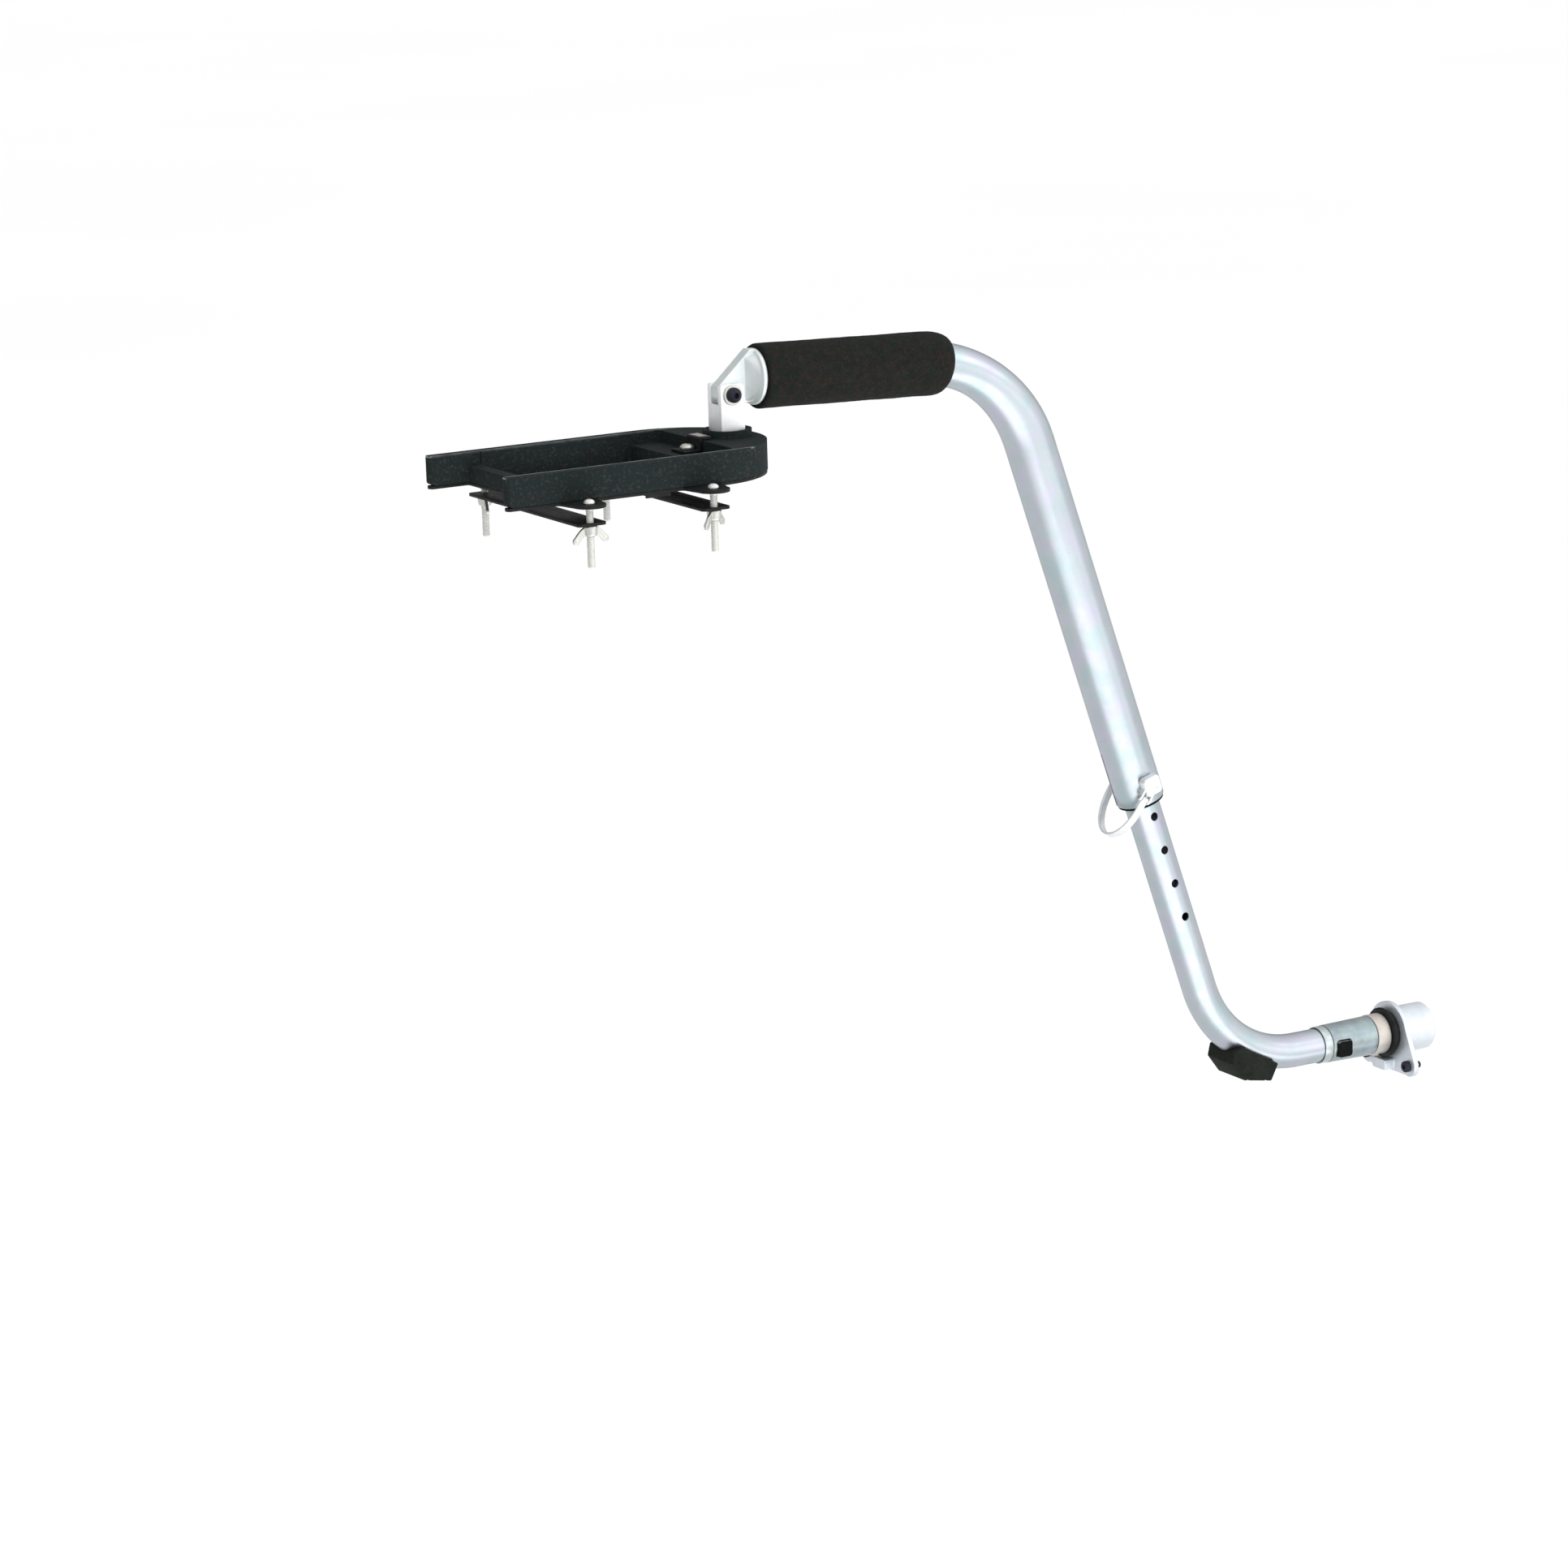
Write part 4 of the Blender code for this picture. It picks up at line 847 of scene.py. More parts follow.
def build_pin():
    head = new()
    side = Y.cross(LONG)
    rows = []
    for y, k in ((-17.9, 0.95), (-18.25, 0.99), (-18.8, 1.0), (-22.6, 0.975), (-23.5, 0.955), (-24.1, 0.915),
                 (-24.45, 0.85), (-24.6, 0.76)):
        out = rounded_box(-7 * k, 7 * k, -7 * k, 7 * k, 3.0 * k, 8)
        rows.append([head.verts.new(PIN + LONG * p[0] + side * p[1] + Vector((0, y, 0))) for p in out])
    for r1, r2 in zip(rows, rows[1:]):
        for i in range(len(r1)):
            j = (i + 1) % len(r1)
            head.faces.new((r1[i], r1[j], r2[j], r2[i]))
    head.faces.new(rows[0])
    head.faces.new(rows[-1])
    ob = to_object("lock_pin_head", head, 40)
    bm = new()
    rows = []
    for y, k in ((-26.0, 3.0), (-24.4, 2.55), (-23.8, 2.4)):
        out = rounded_box(-k, k, -k, k, 0.7, 4)
        rows.append([bm.verts.new(PIN + LONG * p[0] + side * p[1] + Vector((0, y, 0))) for p in out])
    for r1, r2 in zip(rows, rows[1:]):
        for i in range(len(r1)):
            j = (i + 1) % len(r1)
            bm.faces.new((r1[i], r1[j], r2[j], r2[i]))
    bm.faces.new(rows[0])
    bm.faces.new(rows[-1])
    carve(ob, bm, sharp=40)
    # lugs for the bail, blended into the head
    hinge = PIN + BAIL_DIR * 11.4 + Vector((0, -21.2, 0))
    for c0, c1 in ((3.1, 4.6), (-4.6, -3.1)):
        bm = new()
        prof = soften([(3.0, -23.3), (3.0, -19.1), (11.4, -19.1), (13.5, -20.2), (13.5, -22.2), (11.4, -23.3)], 0.9, 4)
        lo = [bm.verts.new(PIN + BAIL_DIR * p[0] + Vector((0, p[1], 0)) + BAIL_CROSS * c0) for p in prof]
        hi = [bm.verts.new(PIN + BAIL_DIR * p[0] + Vector((0, p[1], 0)) + BAIL_CROSS * c1) for p in prof]
        bm.faces.new(lo)
        bm.faces.new(hi)
        for i in range(len(lo)):
            j = (i + 1) % len(lo)
            bm.faces.new((lo[i], lo[j], hi[j], hi[i]))
        carve(ob, bm, 'UNION', 40)
    carve(ob, turned(new(), rod(0.95, 14, -7), hinge, BAIL_CROSS, 20), 'DIFFERENCE', 40)
    shank = lathe([(0, -19.9), (2.6, -19.9, 1.6), (2.6, 17.0), (2.6, 18.6), (0, 18.6)], PIN, (0, -1, 0), 0.2, 40)
    carve(ob, shank, 'UNION', 40)
    bevel(ob, 0.22, 2, 50, 45)
    wear(ob, M_PIN, "pin", ["lock_pin"])

    rivet = to_object("bail_rivet_pin", lathe([(0, -5.1), (1.5, -5.1), (1.5, -4.7), (0.8, -4.65), (0.8, 4.65), (1.5, 4.7),
                                               (1.5, 5.1), (0, 5.1)], hinge, BAIL_CROSS, 0.12, 24))
    wear(rivet, M_ZINC, "pin", ["bail_rivet"])

    # spring bail
    y0, y1 = -21.2, 21.5
    mid, half = (y0 + y1) / 2, (y1 - y0) / 2
    path = [(y0, 11.4), (y0, 12.6), (y0, 14.0)]
    path += [(mid - half * cos(radians(a)), 15.0 + 28.0 * sin(radians(a))) for a in range(0, 181, 5)]
    path += [(y1, 10.0), (y1, 5.0), (y1, 1.0), (y1, -2.4)]
    bm = new()
    rows = []
    n = len(path)
    length = 0.0
    for i, (y, l) in enumerate(path):
        a, b = path[max(0, i - 1)], path[min(n - 1, i + 1)]
        t = Vector((b[0] - a[0], b[1] - a[1])).normalized()
        nrm = Vector((-t.y, t.x))
        c = PIN + BAIL_DIR * l + Vector((0, y, 0))
        e = nrm.x * Y + nrm.y * BAIL_DIR
        wide = (2.4, 2.42, 2.6)[i] if i < 3 else (2.8 if i < n - 5 else 2.8 - 0.14 * (i - (n - 5)))
        out = rounded_box(-0.95, 0.95, -wide, wide, 0.75, 4)
        rows.append([bm.verts.new(c + e * p[0] + BAIL_CROSS * p[1]) for p in out])
    for r1, r2 in zip(rows, rows[1:]):
        for i in range(len(r1)):
            j = (i + 1) % len(r1)
            bm.faces.new((r1[i], r1[j], r2[j], r2[i]))
    bm.faces.new(rows[0])
    bm.faces.new(rows[-1])
    bail = to_object("bail_strip", bm, 40)
    carve(bail, lathe(ring(0.0001, 2.1, -2.4, 2.4)[1:3] + [(0, 2.4), (0, -2.4)], hinge, BAIL_CROSS, 0.2, 32), 'UNION', 40)
    carve(bail, turned(new(), rod(1.0, 10, -5), hinge, BAIL_CROSS, 24), 'DIFFERENCE', 40)
    wear(bail, M_PIN, "pin_bail", ["bail"])


# ============================================================ post and knuckle
def build_post():
    h = 9.0
    outline = [(-h, 24.1), (h, 24.1), (h, 55.2), (h - 2, 57.2), (-h + 1, 57.2), (-h, 56.2)]
    post = to_object("swivel_post_cast", prism(new(), outline, -h, h, 'XZ'))
    carve(post, turned(new(), rod(8.0, 23.5, 2.6), (0, 0, 0), (0, 0, 1), 64), 'UNION')
    r = 10.5
    slot = [(20, 36), (20, 80), (-20, 80), (-20, PIVOT_Z - 0.6 * r)] + arc(0, PIVOT_Z, r, 216.87, 264.53, 14) + [(-r * 0.0953, 36)]
    carve(post, prism(new(), slot, -5, 5, 'XZ'))
    carve(post, turned(new(), rod(3.3, 60, -30), (0, 0, PIVOT_Z), (0, 1, 0), 48))
    bevel(post, 1.3, 4, 50, 40)
    wear(post, M_POST, "swivel_post", ["post"])

    for name, node, prof in (("washer_thrust", "post_washer", ring(8.3, 13.0, 22.6, 23.8)),
                             ("washer_keep", "retaining_washer", ring(8.3, 14.0, 8.9, 10.9))):
        ob = to_object(name, lathe(prof, (0, 0, 0), (0, 0, 1), 0.3, 72))
        wear(ob, M_ZINC, "swivel_post", [node])
    nut = hex_nut("nut_keep", 13.8, 2.6, 8.6, (0, 0, 0), (0, 0, 1), 8.3)
    wear(nut, M_ZINC, "swivel_post", ["post_nut"])
    for name, node, side in (("washer_pivot_left", "pivot_washer_right", -1), ("washer_pivot_right", "pivot_washer_left", 1)):
        box_lo, box_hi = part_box(node)
        y0, y1 = box_lo.y / MM, box_hi.y / MM
        ob = to_object(name + "_ring", lathe(ring(3.3, 7.0, y0, y1), (0, 0, PIVOT_Z), (0, 1, 0), 0.25, 56))
        wear(ob, M_ZINC, "swivel_post", [node])
    bolt = to_object("pivot_bolt_head", lathe([(0, -19.5), (3.0, -19.5, 0.6), (3.0, 10.6, 0), (5.1, 10.6), (5.1, 12.6, 1.2),
                                               (2.8, 14.3, 1.2), (0, 14.3)], (0, 0, PIVOT_Z), (0, -1, 0), 0.3, 56))
    carve(bolt, socket((0, -14.6, PIVOT_Z), (0, -1, 0), 1.9, 3.0))
    wear(bolt, M_BOLT, "swivel_post", ["pivot_bolt"])
    nut = hex_nut("pivot_lock_nut", 5.6, 10.6, 16.2, (0, 0, PIVOT_Z), (0, 1, 0), 3.3)
    wear(nut, M_ZINC, "swivel_post", ["pivot_nut"])


def socket(at, axis, r, depth):
    """Hexagon socket; at is just above the head."""
    u, v, w = axes_of(axis)
    bm = new()
    top = [bm.verts.new(Vector(at) + w * 0.5 + r / cos(pi / 6) * (cos(tau * k / 6) * u + sin(tau * k / 6) * v)) for k in range(6)]
    low = [bm.verts.new(Vector(at) - w * depth + r / cos(pi / 6) * (cos(tau * k / 6) * u + sin(tau * k / 6) * v)) for k in range(6)]
    bm.faces.new(top)
    bm.faces.new(low)
    for k in range(6):
        bm.faces.new((top[k], top[(k + 1) % 6], low[(k + 1) % 6], low[k]))
    return bm


def hex_nut(name, r, h0, h1, at, axis, bore):
    """Nut with its corners turned off at both faces."""
    u, v, w = axes_of(axis)
    at = Vector(at)
    bm = new()
    lo = [bm.verts.new(at + w * h0 + r * (cos(tau * k / 6) * u + sin(tau * k / 6) * v)) for k in range(6)]
    hi = [bm.verts.new(at + w * h1 + r * (cos(tau * k / 6) * u + sin(tau * k / 6) * v)) for k in range(6)]
    bm.faces.new(lo)
    bm.faces.new(hi)
    for k in range(6):
        bm.faces.new((lo[k], lo[(k + 1) % 6], hi[(k + 1) % 6], hi[k]))
    ob = to_object(name, bm)
    flat = r * cos(pi / 6)
    c = r - flat
    cone = [(0, h0 - 0.01), (flat * 0.97, h0 - 0.01), (r + 0.3, h0 + c * 0.75), (r + 0.3, h1 - c * 0.75), (flat * 0.97, h1 + 0.01),
            (0, h1 + 0.01)]
    carve(ob, turned(new(), cone, at, axis, 64), 'INTERSECT')
    carve(ob, turned(new(), [(0, h0 - 2), (bore + 0.6, h0 - 2), (bore + 0.6, h0), (bore, h0 + 0.6), (bore, h1 - 0.6),
                             (bore + 0.6, h1), (bore + 0.6, h1 + 2), (0, h1 + 2)], at, axis, 48))
    return ob


def build_knuckle():
    d = heading(A0)
    up = Y.cross(d)
    if up.z < 0:
        up = -up
    outline = arc(0, PIVOT_Z, 9.2, 176, 300, 24) + [(12.5, 43.5), (20.4, 43.5), (20.4, 78.4), (16.8, 78.7), (-8.6, 55.6)]
    ob = to_object("knuckle_cast", prism(new(), outline, -4.6, 4.6, 'XZ'))
    bm = new()
    pts = [Vector((12.2, s * 4.6, z)) for s in (-1, 1) for z in (45.0, 73.4)]
    c = P_START - d * 2.6
    pts += [c + 17.2 * (cos(tau * k / 64) * up + sin(tau * k / 64) * Y) for k in range(64)]
    bmesh.ops.convex_hull(bm, input=[bm.verts.new(p) for p in pts])
    carve(ob, bm, 'UNION')
    carve(ob, lathe([(0, -3.6), (19.0, -3.6, 0.9), (19.0, -0.3, 0.5), (11.0, -0.3, 0), (11.0, 44.0, 0.8), (0, 44.0)],
                    P_START, d, 0.5, 96), 'UNION')
    bm = turned(new(), rod(4.2, 60, -30), (0, 0, PIVOT_Z), (0, 1, 0), 48)
    turned(bm, rod(4.3, 36, 14), P_START, d, 40)
    carve(ob, bm)
    cast(ob, 0.45, 3, 0.5)
    wear(ob, M_CAST, "knuckle_body", ["knuckle"])


# ===================================================================== receiver
def build_receiver():
    z = END_Z
    outline = (arc(0, z, 22.5, 15, 165, 40) + arc(-25.0, z - 21.0, 8.0, 160, 285, 20)
               + arc(25.0, z - 21.0, 8.0, 255, 380, 20))
    ob = to_object("receiver_cast", prism(new(), outline, 541.0, 545.0, 'YZ'))
    barrel = [(0, 487), (10.2, 487, 1.2), (10.2, 543, 0), (17.5, 543, 0), (17.5, 572, 1.0), (0, 572)]
    carve(ob, lathe(barrel, (0, 0, z), (1, 0, 0), 0.5, 96), 'UNION')
    bm = new()
    prism(bm, soften([(-8, z - 27.0), (8, z - 27.0), (8, z - 19.0), (-8, z - 19.0)], 2.0, 4), 532.5, 543.0, 'YZ')
    carve(ob, bm, 'UNION')
    bm = box(new(), 480, 503, -20, -7.4, z - 12, z + 12)
    turned(bm, [(0, 549), (12.0, 549), (12.0, 571.2), (12.8, 572.1), (12.8, 580), (0, 580)], (0, 0, z), (1, 0, 0), 80)
    carve(ob, bm)
    bm = new()
    for y in (-25.0, 25.0):
        turned(bm, rod(2.8, 20, 533), (0, y, z - 21.0), (1, 0, 0), 32)
    carve(ob, bm)
    cast(ob, 0.5, 3, 0.5)
    wear(ob, M_CAST_REC, "receiver_body", ["receiver"])
    seal = to_object("seal_lip", lathe([(10.5, 534.6), (17.6, 534.6, 0.9), (18.6, 535.6, 0.6), (18.6, 537.3, 0.5), (16.6, 537.7, 0.4),
                                        (16.3, 540.6), (10.5, 540.6)], (0, 0, z), (1, 0, 0), 0.4, 96))
    wear(seal, M_SEAL, "receiver_body", ["seal_ring"])
    for s, name in ((-1, "receiver_bolt_left"), (1, "receiver_bolt_right")):
        lo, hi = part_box(name)
        x0, x1 = lo.x / MM, hi.x / MM
        ob = to_object(name + "_screw", lathe([(0, x0), (4.2, x0, 1.3), (4.2, 540.7, 0.2), (2.5, 540.7, 0), (2.5, x1, 0.5), (0, x1)],
                                              (0, s * 25.0, z - 21.0), (1, 0, 0), 0.3, 40))
        carve(ob, socket((x0, s * 25.0, z - 21.0), (-1, 0, 0), 1.6, 2.2))
        wear(ob, M_BOLT, "receiver_body", [name])


# ===================================================================== the shoe
BOLT_X, BOLT_Y, EAR_R = (-145.0, -53.5), 75.0, 11.0


def shoe_outline(inset=0.0, ears=False, horn=3.0, n=64):
    w = 60.0 - inset
    f = -196.0 + inset
    pts = [(f, -w, horn)]
    if ears:
        for x in BOLT_X:
            pts += [(x - EAR_R - 3.0, -w, 3.0)]
            pts += [(p[0], p[1], 0) for p in arc(x, -BOLT_Y, EAR_R, 180, 360, 28)]
            pts += [(x + EAR_R + 3.0, -w, 3.0)]
    pts += [(p[0], p[1], 0) for p in arc(-38.5, 0, w, -90, 90, n)]
    if ears:
        for x in reversed(BOLT_X):
            pts += [(x + EAR_R + 3.0, w, 3.0)]
            pts += [(p[0], p[1], 0) for p in arc(x, BOLT_Y, EAR_R, 0, 180, 28)]
            pts += [(x - EAR_R - 3.0, w, 3.0)]
    pts += [(f, w, horn)]
    inner = 52.0 + inset
    cx = -168.0 + inset
    pts += [(f, inner, horn), (cx, inner, 2.0), (cx, -inner, 2.0), (f, -inner, horn)]
    return soften(pts, 0.0, 6)


def build_shoe():
    ob = to_object("rack_shoe_moulding", prism(new(), shoe_outline(), 2.3, 22.0))
    # horn tips: well rounded below, less above
    tips = soften([(-196.2, 2.2, 5.0), (40, 2.2, 0), (40, 30, 0), (-196.2, 22.1, 2.6)], 0.0, 8)
    carve(ob, prism(new(), tips, -90, 90, 'XZ'), 'INTERSECT')
    carve(ob, turned(new(), rod(16.5, 8.8, 18), (0, 0, 0), (0, 0, 1), 96), 'UNION')
    bm = prism(new(), soften([(-159.0, -52), (-46, -52), (-46, 52), (-159.0, 52)], 2.5, 5), -5, 40)
    carve(ob, bm)
    bm = new()
    box(bm, -171.0, -158.0, -52, 52, 13.0, 40)
    carve(ob, bm)
    carve(ob, prism(new(), soften([(-50.0, -52), (-24, -52, 4), (-24, 52, 4), (-50.0, 52)], 0.0, 5), 14.0, 40))
    bm = turned(new(), [(0, -2), (17.0, -2), (17.0, 11.2), (10.3, 11.2), (10.3, 22.3), (13.4, 22.3), (13.4, 40), (0, 40)],
                (0, 0, 0), (0, 0, 1), 80)
    carve(ob, bm)
    bm = turned(new(), rod(2.8, 30, -6), (-31, 0, 0), (0, 0, 1), 32)
    turned(bm, rod(2.3, 10.5, -0.5), (-163.5, 0, 0), (0, 0, 1), 32)
    carve(ob, bm)
    bevel(ob, 1.3, 4, 50, 35)
    wear(ob, M_SHOE, "rack_shoe", ["shoe_frame"])

    plate = to_object("rack_plate", prism(new(), shoe_outline(0.4, True), 0, 2.0))
    bm = prism(new(), rounded_box(-150.0, -56.0, -40, 40, 10, 12), -3, 6)
    for x in BOLT_X:
        for y in (-BOLT_Y, BOLT_Y):
            turned(bm, rod(2.8, 12, -6), (x, y, 0), (0, 0, 1), 32)
    turned(bm, rod(2.8, 12, -6), (-31, 0, 0), (0, 0, 1), 32)
    turned(bm, rod(2.3, 12, -6), (-163.5, 0, 0), (0, 0, 1), 32)
    carve(plate, bm)
    for s in (-1, 1):
        y0, y1 = sorted((s * 57.4, s * 59.4))
        carve(plate, box(new(), -94.5, -76.5, y0, y1, -2.3, 1.0), 'UNION')
    bevel(plate, 0.4, 2, 50, 35)
    wear(plate, M_COAT, "rack_shoe", ["base_plate"])

    stop = to_object("stop_plate", prism(new(), soften([(-38, 14.3, 0.2), (-24.3, 14.3, 1.0), (-24.3, 22.3, 0.6), (-17.3, 22.3, 0.2),
                                                       (-17.3, 24.5, 0.3), (-26.1, 24.5, 1.6), (-26.1, 16.1, 0.6), (-38, 16.1, 0.3)], 0.3, 4),
                                     -9, 9, 'XZ'))
    carve(stop, turned(new(), rod(2.8, 20, 5), (-31, 0, 0), (0, 0, 1), 32))
    bevel(stop, 0.3, 2, 60, 35)
    wear(stop, M_STOP, "rack_shoe", ["stop_bracket"])

    screw = to_object("deck_screw_head", lathe([(0, 0.4), (2.5, 0.4, 0.4), (2.5, 16.4, 0), (4.9, 16.4), (4.9, 18.0, 0.9), (3.0, 19.5, 1.5),
                                                (0, 19.7)], (-31, 0, 0), (0, 0, 1), 0.3, 56))
    for slot in cross_recess((-31, 0, 19.7), (0, 0, 1), 2.6):
        carve(screw, slot)
    wear(screw, M_ZINC, "rack_shoe", ["deck_screw"])
    screw = to_object("front_screw_head", lathe([(0, -3.2), (2.4, -3.0), (3.5, -2.2), (3.5, -0.3), (2.0, -0.3, 0),
                                                 (2.0, 9.2, 0.4), (0, 9.2)], (-163.5, 0, 0), (0, 0, 1), 0.3, 40))
    for slot in cross_recess((-163.5, 0, -3.2), (0, 0, -1), 1.9):
        carve(screw, slot)
    wear(screw, M_ZINC, "rack_shoe", ["front_screw"])
    bush = to_object("swivel_bush_ring", lathe(ring(8.3, 10.0, 11.5, 22.2), (0, 0, 0), (0, 0, 1), 0.3, 64))
    wear(bush, M_NYLON, "rack_shoe", ["swivel_bush"])


def threaded(bm, x, y, z0, z1, head, d=5.0, pitch=0.8, seg=28, per=8):
    """Carriage bolt: rolled thread from the tip up, plain neck, domed head."""
    rows = [[bm.verts.new((x, y, z0))]]
    r_root = d / 2 - 0.43
    n = int(round((z1 - z0) / pitch * per))
    for i in range(n + 1):
        z = z0 + (z1 - z0) * i / n
        row = []
        for k in range(seg):
            t = (z / pitch - k / seg) % 1.0
            h = 1 - abs(2 * t - 1)
            h = min(1.0, max(0.0, (h - 0.12) / 0.70))
            fade = min(1.0, (z1 - z) / 0.8)
            r = r_root + (d / 2 - r_root) * (h if fade >= 1 else max(h, 1 - fade))
            r = min(r, d / 2 - 0.75 + max(0.0, z - z0) * 0.9)
            a = tau * k / seg
            row.append(bm.verts.new((x + r * cos(a), y + r * sin(a), z)))
        rows.append(row)
    for r, z in ((2.5, z1 + 0.3), (2.5, head), (3.4, head), (3.6, head + 0.2), (3.6, head + 0.8), (3.45, head + 1.35),
                 (2.95, head + 2.0), (2.1, head + 2.55), (1.1, head + 2.83)):
        rows.append([bm.verts.new((x + r * cos(tau * k / seg), y + r * sin(tau * k / seg), z)) for k in range(seg)])
    rows.append([bm.verts.new((x, y, head + 2.9))])
    for a, b in zip(rows, rows[1:]):
        for k in range(seg):
            k2 = (k + 1) % seg
            if len(a) == 1:
                bm.faces.new((a[0], b[k2], b[k]))
            elif len(b) == 1:
                bm.faces.new((a[k], a[k2], b[0]))
            else:
                bm.faces.new((a[k], a[k2], b[k2], b[k]))
    return bm


def wing_nut(name, x, y, turn, body):
    top = -12.3
    bm = lathe([(2.75, top - 6.6), (3.9, top - 6.6, 0.6), (4.5, top - 5.6, 0.5), (5.0, top - 0.6, 0.5), (4.6, top, 0.3), (2.75, top)],
               (0, 0, 0), (0, 0, 1), 0.3, 48)
    side = [(3.3, -1.1), (5.6, -1.1), (8.2, -3.0), (11.2, -6.2)]
    tip = arc(11.0, -9.2, 2.3, 62, -120, 12)
    back = [(7.4, -8.4), (5.2, -6.4), (3.3, -5.4)]
    outline = soften([(p[0], p[1]) for p in side + tip + back], 0.6, 3)
    for s in (-1, 1):
        # each wing swells towards its rim
        lo, hi, mids = [], [], []
        for a, b in outline:
            lo.append(bm.verts.new((s * a, -1.0, top + b)))
            hi.append(bm.verts.new((s * a, 1.0, top + b)))
        bm.faces.new(lo)
        bm.faces.new(hi)
        for i in range(len(lo)):
            j = (i + 1) % len(lo)
            bm.faces.new((lo[i], lo[j], hi[j], hi[i]))
        # bead round the tip
        cx, cz = s * 11.0, top - 9.2
        for k in range(-9, 16):
            a = radians(k * 10)
            px, pz = cx + s * 1.55 * cos(a), cz + 1.55 * sin(a) * 1.0
            bmesh.ops.create_icosphere(bm, subdivisions=2, radius=1.35, matrix=Matrix.Translation((px * 0.985, 0, pz)) @ Matrix.Diagonal((0.62, 1.0, 0.62, 1.0)))
    bmesh.ops.rotate(bm, cent=(0, 0, 0), matrix=Matrix.Rotation(radians(turn), 3, 'Z'), verts=bm.verts)
    bmesh.ops.translate(bm, vec=(x, y, 0), verts=bm.verts)
    bmesh.ops.recalc_face_normals(bm, faces=bm.faces)
    bmesh.ops.scale(bm, vec=(MM, MM, MM), verts=bm.verts)
    me = bpy.data.meshes.new(name + "_cast")
    bm.to_mesh(me)
    bm.free()
    ob = bpy.data.objects.new(name + "_cast", me)
    bpy.context.scene.collection.objects.link(ob)
    cast(ob, 0.28, 2, 0.5)
    wear(ob, M_ZINC, body, [name])


def build_clamps():
    head = 2.3
    names = {(0, -1): "front_left", (0, 1): "front_right", (1, -1): "rear_left", (1, 1): "rear_right"}
    turns = {(0, -1): 4.0, (0, 1): 70.0, (1, -1): 33.0, (1, 1): -20.0}
    for i, x in enumerate(BOLT_X):
        where = "front" if i == 0 else "rear"
        bar = to_object("bar_" + where, prism(new(), rounded_box(x - 10.5, x + 10.5, -79.5, 79.5, 3.0, 10), -12.0, -10.0))
        bm = new()
        for s in (-1, 1):
            turned(bm, rod(2.8, 12, -19), (x, s * BOLT_Y, 0), (0, 0, 1), 32)
        carve(bar, bm)
        bevel(bar, 0.45, 3, 50, 35)
        wear(bar, M_COAT, where + "_bar", ["clamp_bar_" + where])
        for s in (-1, 1):
            nm = names[i, s]
            bolt = to_object("bolt_" + nm, threaded(new(), x, s * BOLT_Y, -40.0, -2.0, head), 30)
            wear(bolt, M_THREAD, "rack_shoe", ["clamp_bolt_" + nm])
            wing_nut("wing_nut_" + nm, x, s * BOLT_Y, turns[i, s], nm + "_nut")


# ========================================================= inner pieces and all
def dress_inner():
    """CAD pieces that stay as they are get their own finish."""
    for node, m in (("roll_bush", M_NYLON), ("slider_bush", M_NYLON), ("pivot_sleeve", M_ZINC), ("spigot_washer", M_ZINC),
                    ("spigot_bolt", M_ZINC)):
        ob = NODES[node]
        for sl in ob.material_slots:
            sl.material = m


build_upper_tube()
build_grip()
build_bushes()
build_lower_tube()
build_foot()
build_coupling()
build_pin()
build_post()
build_knuckle()
build_receiver()
build_shoe()
build_clamps()
dress_inner()

# ====================================================== floor, light and camera
FLOOR_Z = -0.745


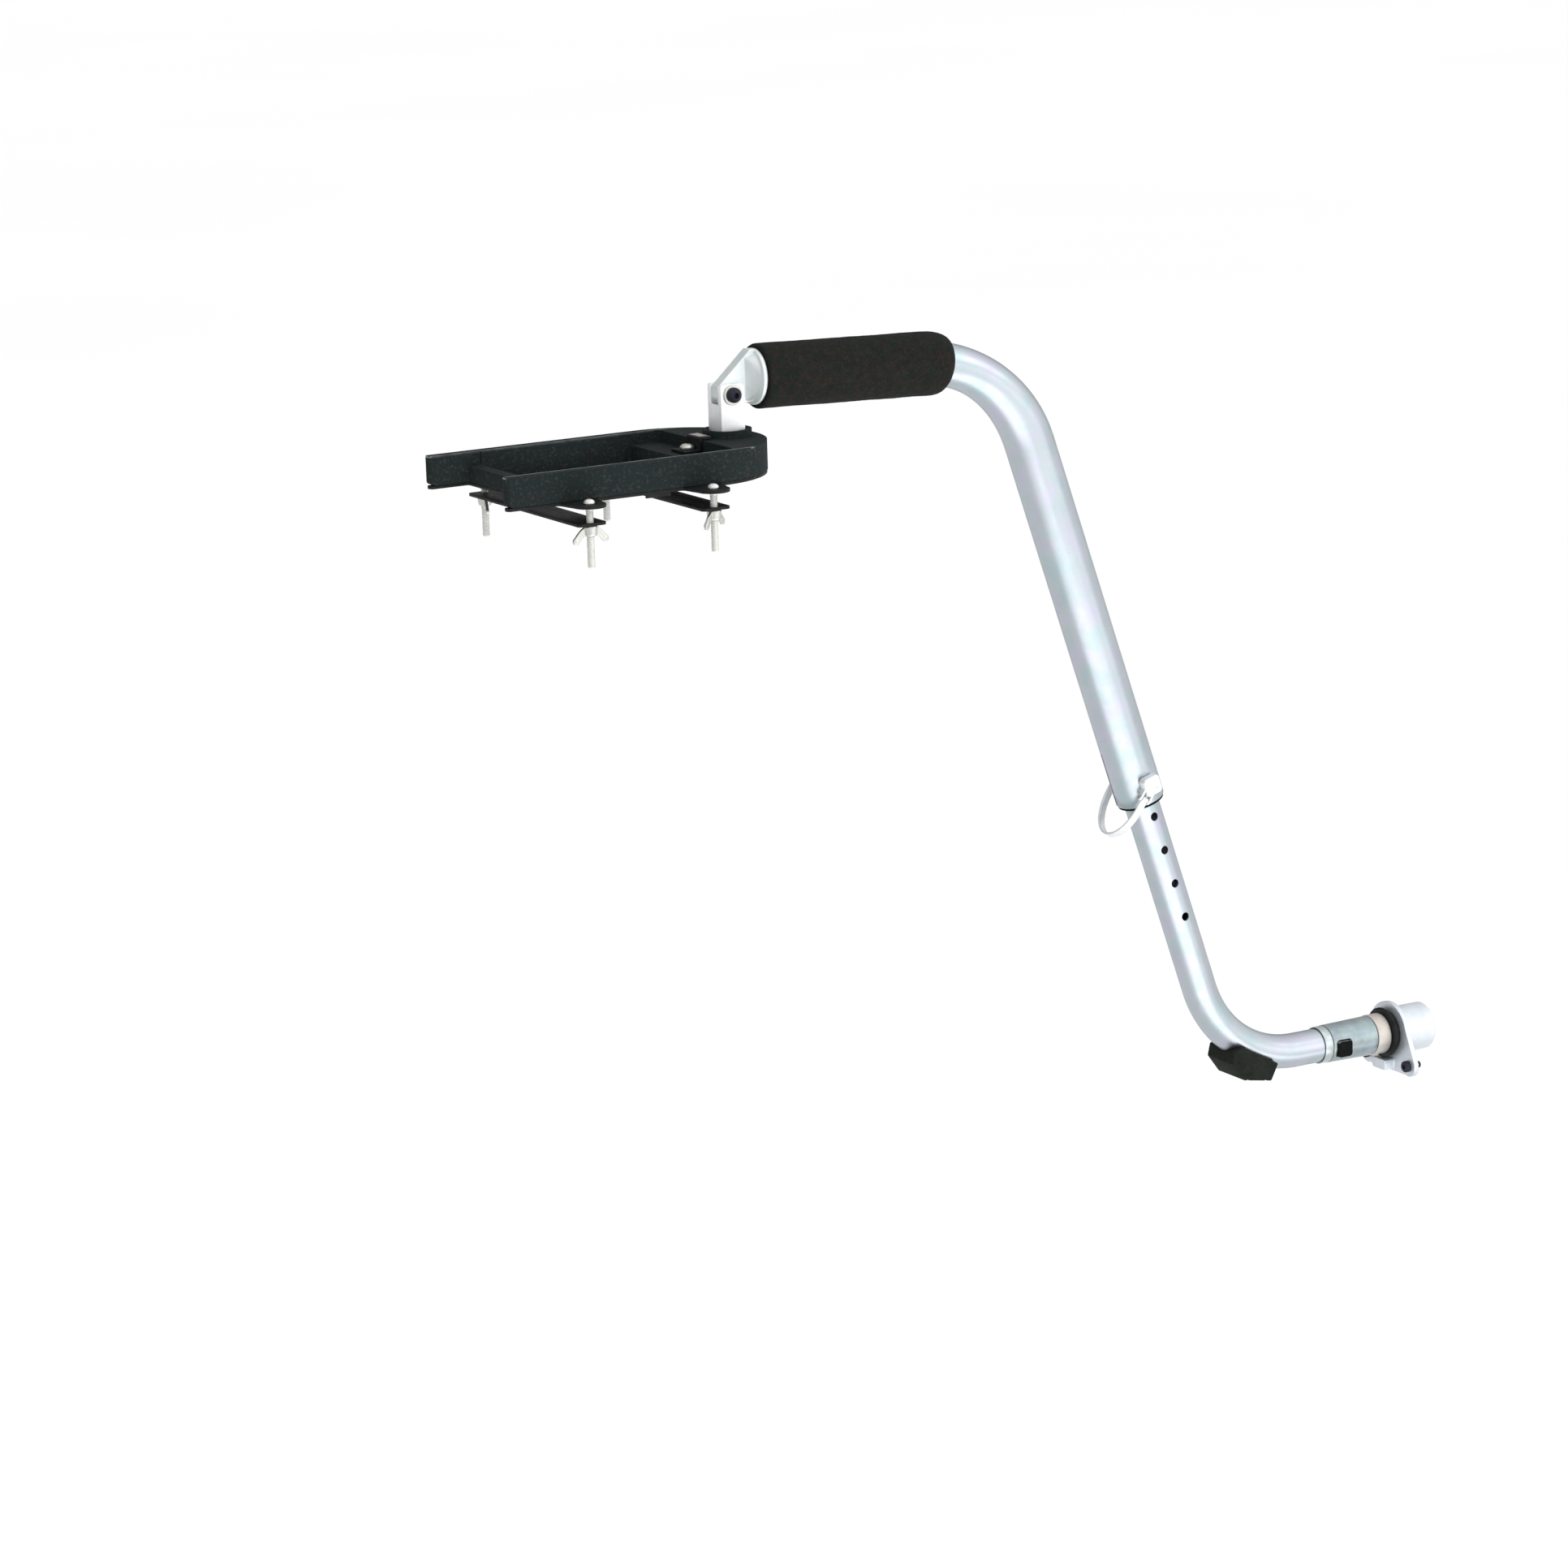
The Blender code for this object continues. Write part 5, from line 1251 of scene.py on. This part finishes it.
def stage():
    bm = new()
    s = 40.0
    v = [bm.verts.new(p) for p in ((-s, -s, FLOOR_Z), (s, -s, FLOOR_Z), (s, s, FLOOR_Z), (-s, s, FLOOR_Z))]
    bm.faces.new(v)
    me = bpy.data.meshes.new("floor")
    bm.to_mesh(me)
    bm.free()
    floor = bpy.data.objects.new("floor", me)
    bpy.context.scene.collection.objects.link(floor)
    m = Mat("floor_pale")
    soft = m.noise(0.6, 2.0, 0.5)
    m.set(Base_Color=m.ramp(soft, (0.3, (0.93, 0.93, 0.93)), (0.7, (0.95, 0.95, 0.95))), Roughness=0.9, Specular_IOR_Level=0.1)
    me.materials.append(m.m)

    world = bpy.data.worlds.new("studio")
    bpy.context.scene.world = world
    world.use_nodes = True
    nt = world.node_tree
    bg = nt.nodes["Background"]
    way = nt.nodes.new("ShaderNodeTexCoord")
    lean = nt.nodes.new("ShaderNodeVectorMath")
    lean.operation = 'DOT_PRODUCT'
    rise = nt.nodes.new("ShaderNodeMapRange")
    nt.links.new(way.outputs["Generated"], lean.inputs[0])
    lean.inputs[1].default_value = Vector((0.35, -0.82, 0.45)).normalized()
    nt.links.new(lean.outputs["Value"], rise.inputs["Value"])
    rise.inputs["From Min"].default_value, rise.inputs["From Max"].default_value = -1.0, 1.0
    rise.inputs["To Min"].default_value, rise.inputs["To Max"].default_value = 0.10, 1.60
    nt.links.new(rise.outputs["Result"], bg.inputs["Strength"])
    bg.inputs["Color"].default_value = (1.0, 1.0, 1.0, 1.0)

    def area(name, at, to, size, size_y, power, rgb=(1, 1, 1)):
        light = bpy.data.lights.new(name, 'AREA')
        light.shape = 'RECTANGLE'
        light.size, light.size_y = size, size_y
        light.energy = power
        light.color = rgb
        ob = bpy.data.objects.new(name, light)
        bpy.context.scene.collection.objects.link(ob)
        ob.location = at
        ob.rotation_mode = 'QUATERNION'
        ob.rotation_quaternion = (Vector(to) - Vector(at)).to_track_quat('-Z', 'Y')
        ob.visible_camera = False
        return ob
    area("overhead_soft", (0.85, -0.30, 1.25), (0.20, 0.0, 0.04), 0.9, 0.9, 1.6)
    area("front_bounce", (0.15, -1.00, -0.735), (0.15, -1.00, 0.5), 1.3, 1.45, 9.0)
    area("side_soft", (1.10, -1.50, -0.22), (0.25, 0.0, -0.10), 1.6, 1.04, 3.6)
    area("high_front", (1.60, -1.00, 1.04), (0.20, 0.0, 0.05), 1.0, 1.0, 0.26).data.spread = radians(40)


def camera():
    data = bpy.data.cameras.new("camera")
    cam = bpy.data.objects.new("camera", data)
    bpy.context.scene.collection.objects.link(cam)
    right = Vector((0.86549, -0.5, -0.03022)).normalized()
    back = Vector((-0.48200, -0.84772, 0.22145)).normalized()
    up = back.cross(right).normalized()
    right = up.cross(back).normalized()
    m = Matrix((right, up, back)).transposed().to_4x4()
    m.translation = Vector((-1.69625, -3.04528, 0.57386))
    cam.matrix_world = m
    data.sensor_fit = 'HORIZONTAL'
    data.sensor_width = 36.0
    data.lens = 36.0 * 6500.0 / 1932.0
    data.clip_start, data.clip_end = 0.05, 200.0
    bpy.context.scene.camera = cam


stage()
camera()
bpy.context.scene.view_settings.view_transform = 'Standard'
bpy.context.scene.view_settings.look = 'None'
